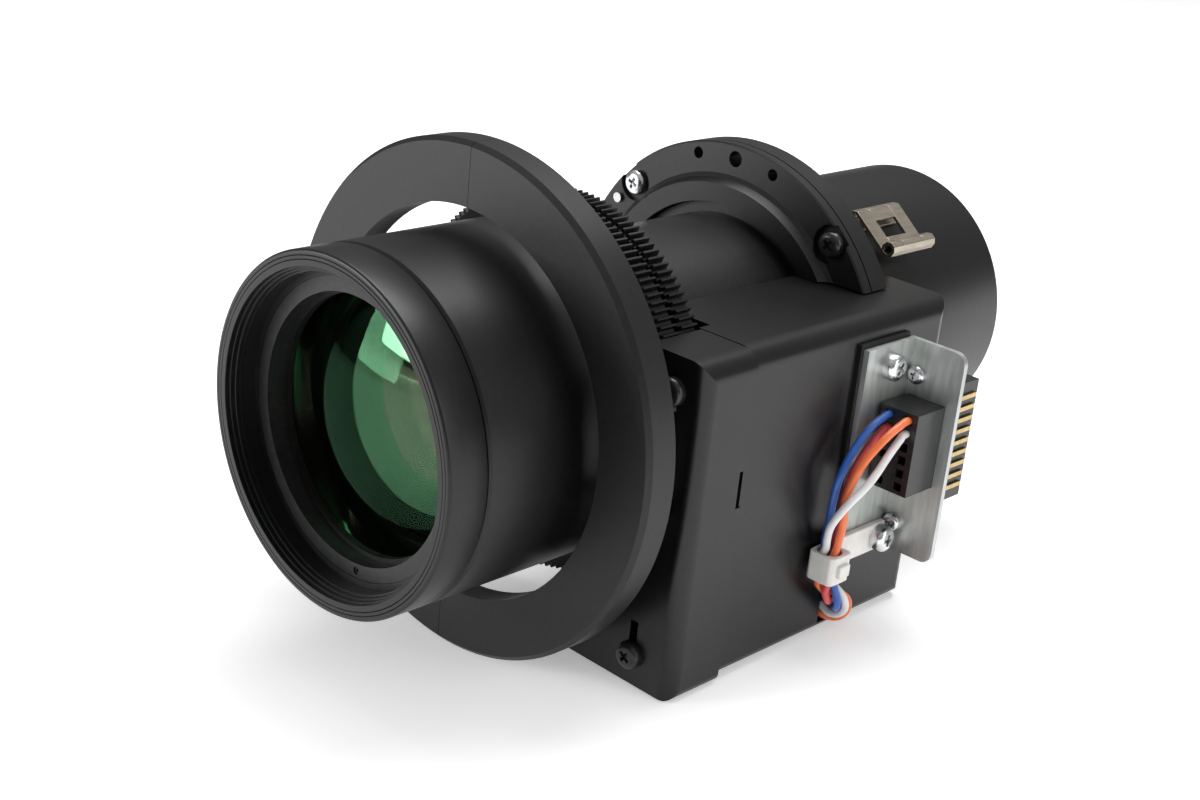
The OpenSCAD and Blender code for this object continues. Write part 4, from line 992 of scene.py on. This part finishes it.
@dataclass
class Studio:
    """The pale floor, the lamps and the camera."""

    eye: Point = (0.2267, -0.2888, 0.1228)
    azimuth: float = 42.55
    elevation: float = 21.28
    roll: float = -5.76
    lens: float = 52.8
    floor_lean: float = 3.46
    floor_drop: float = 0.0502
    floor_span: float = 6.0
    floor_glow: float = 0.34
    paper: tuple[Point, Point] = ((0.93, 0.93, 0.935), (0.96, 0.96, 0.96))
    paper_grain: float = 30.0
    room_light: float = 0.50
    room_low: float = 0.22
    room_full: float = 0.75
    softboxes: tuple[Softbox, ...] = (
        Softbox("overhead", (-0.15, 0.20, 0.95), (0, -0.02, 0), 10.0, (0.8, 0.55)),
        Softbox("left_front", (-0.60, -0.88, 0.14), (0, -0.10, 0), 6.0, (0.42, 0.30)),
        Softbox("right_side", (0.95, 0.20, 0.35), (0.03, 0, 0), 2.2, (0.4, 0.7)),
    )

    def floor(self) -> None:
        """Lays the pale floor under the ring and the box's lower corner."""
        s = Surface("studio paper")
        diffuse = s.add("ShaderNodeBsdfDiffuse", Roughness=0.9)
        noise = s.speckle(self.paper_grain)
        ramp = s.tree.nodes.new("ShaderNodeValToRGB")
        for stop, colour in zip(ramp.color_ramp.elements, self.paper):
            stop.color = (*colour, 1)
        s.link(noise.outputs["Fac"], ramp.inputs["Fac"])
        s.link(ramp.outputs["Color"], diffuse.inputs["Color"])
        glow = s.add("ShaderNodeEmission", Strength=self.floor_glow)
        both = s.tree.nodes.new("ShaderNodeAddShader")
        s.link(diffuse.outputs["BSDF"], both.inputs[0])
        s.link(glow.outputs["Emission"], both.inputs[1])
        s.link(both.outputs["Shader"], s.output.inputs["Surface"])
        lean = math.radians(self.floor_lean)
        up = Vector((-math.sin(lean), 0, math.cos(lean)))
        side = Vector((math.cos(lean), 0, math.sin(lean)))
        middle = -up * self.floor_drop
        b = bmesh.new()
        along = Vector((0, 1, 0))
        half = self.floor_span / 2
        corners = [middle + side * half * i + along * half * k for i, k in ((-1, -1), (1, -1), (1, 1), (-1, 1))]
        b.faces.new([b.verts.new(c) for c in corners])
        data = bpy.data.meshes.new("floor")
        b.to_mesh(data)
        b.free()
        data.materials.append(s.material)
        floor = bpy.data.objects.new("floor", data)
        bpy.context.scene.collection.objects.link(floor)
        floor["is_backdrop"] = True

    def lamps(self) -> None:
        """Hangs the softboxes and sets the room's own light."""
        for softbox in self.softboxes:
            softbox.hang()
        world = bpy.data.worlds.new("room")
        world.use_nodes = True
        tree = world.node_tree
        tree.nodes["Background"].inputs["Strength"].default_value = self.room_light
        place = tree.nodes.new("ShaderNodeTexCoord")
        split = tree.nodes.new("ShaderNodeSeparateXYZ")
        ramp = tree.nodes.new("ShaderNodeValToRGB")
        ramp.color_ramp.elements[0].position = 0.0
        ramp.color_ramp.elements[0].color = (self.room_low, self.room_low, self.room_low, 1)
        ramp.color_ramp.elements[1].position = self.room_full
        ramp.color_ramp.elements[1].color = (1, 1, 1, 1)
        tree.links.new(place.outputs["Generated"], split.inputs["Vector"])
        tree.links.new(split.outputs["Z"], ramp.inputs["Fac"])
        tree.links.new(ramp.outputs["Color"], tree.nodes["Background"].inputs["Color"])
        bpy.context.scene.world = world

    def camera(self) -> None:
        """Sets the camera where the photograph was taken from."""
        a, e, r = (math.radians(v) for v in (self.azimuth, self.elevation, self.roll))
        back = Vector((math.sin(a) * math.cos(e), -math.cos(a) * math.cos(e), math.sin(e)))
        right = Vector((math.cos(a), math.sin(a), 0))
        down = right.cross(back)
        if down.z > 0:
            down = -down
        turned_right = math.cos(r) * right + math.sin(r) * down
        turned_down = -math.sin(r) * right + math.cos(r) * down
        data = bpy.data.cameras.new("camera")
        data.lens = self.lens
        data.sensor_width = 36.0
        data.clip_start = 0.005
        camera = bpy.data.objects.new("camera", data)
        matrix = Matrix((turned_right, -turned_down, back)).transposed().to_4x4()
        matrix.translation = Vector(self.eye)
        camera.matrix_world = matrix
        bpy.context.scene.collection.objects.link(camera)
        bpy.context.scene.camera = camera

    def build(self) -> None:
        """Sets up the whole studio."""
        self.floor()
        self.lamps()
        self.camera()
        bpy.context.scene.view_settings.view_transform = "Standard"
        LOG.info("studio ready")


def note_size(key: str, notes: dict[str, object]) -> None:
    """Keeps the overall box in the notes, next to the earlier one.

    Args:
        key: the moment's name.
        notes: what has been noted so far.
    """
    low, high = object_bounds()
    notes[key] = [[float(v) for v in low], [float(v) for v in high]]


def main() -> None:
    """Builds the dressed lens and its studio in order."""
    logging.basicConfig(level=logging.INFO)
    notes: dict[str, object] = {}
    note_size("frame", notes)
    palette = Palette()
    NodeDresser().dress(palette)
    OpticalTrain().build(palette)
    FrontHood().build(palette)
    SmoothBarrel("rear_sleeve", REAR_SLEEVE, Body.BASE, "satin black anodising", ("rear_barrel",)).build(palette)
    ScrewSet().build(palette)
    SpringLatch().build(palette)
    CableClamp().build(palette)
    Harness().build(palette)
    Studio().build()
    note_size("dressed", notes)


if __name__ == "__main__":
    main()
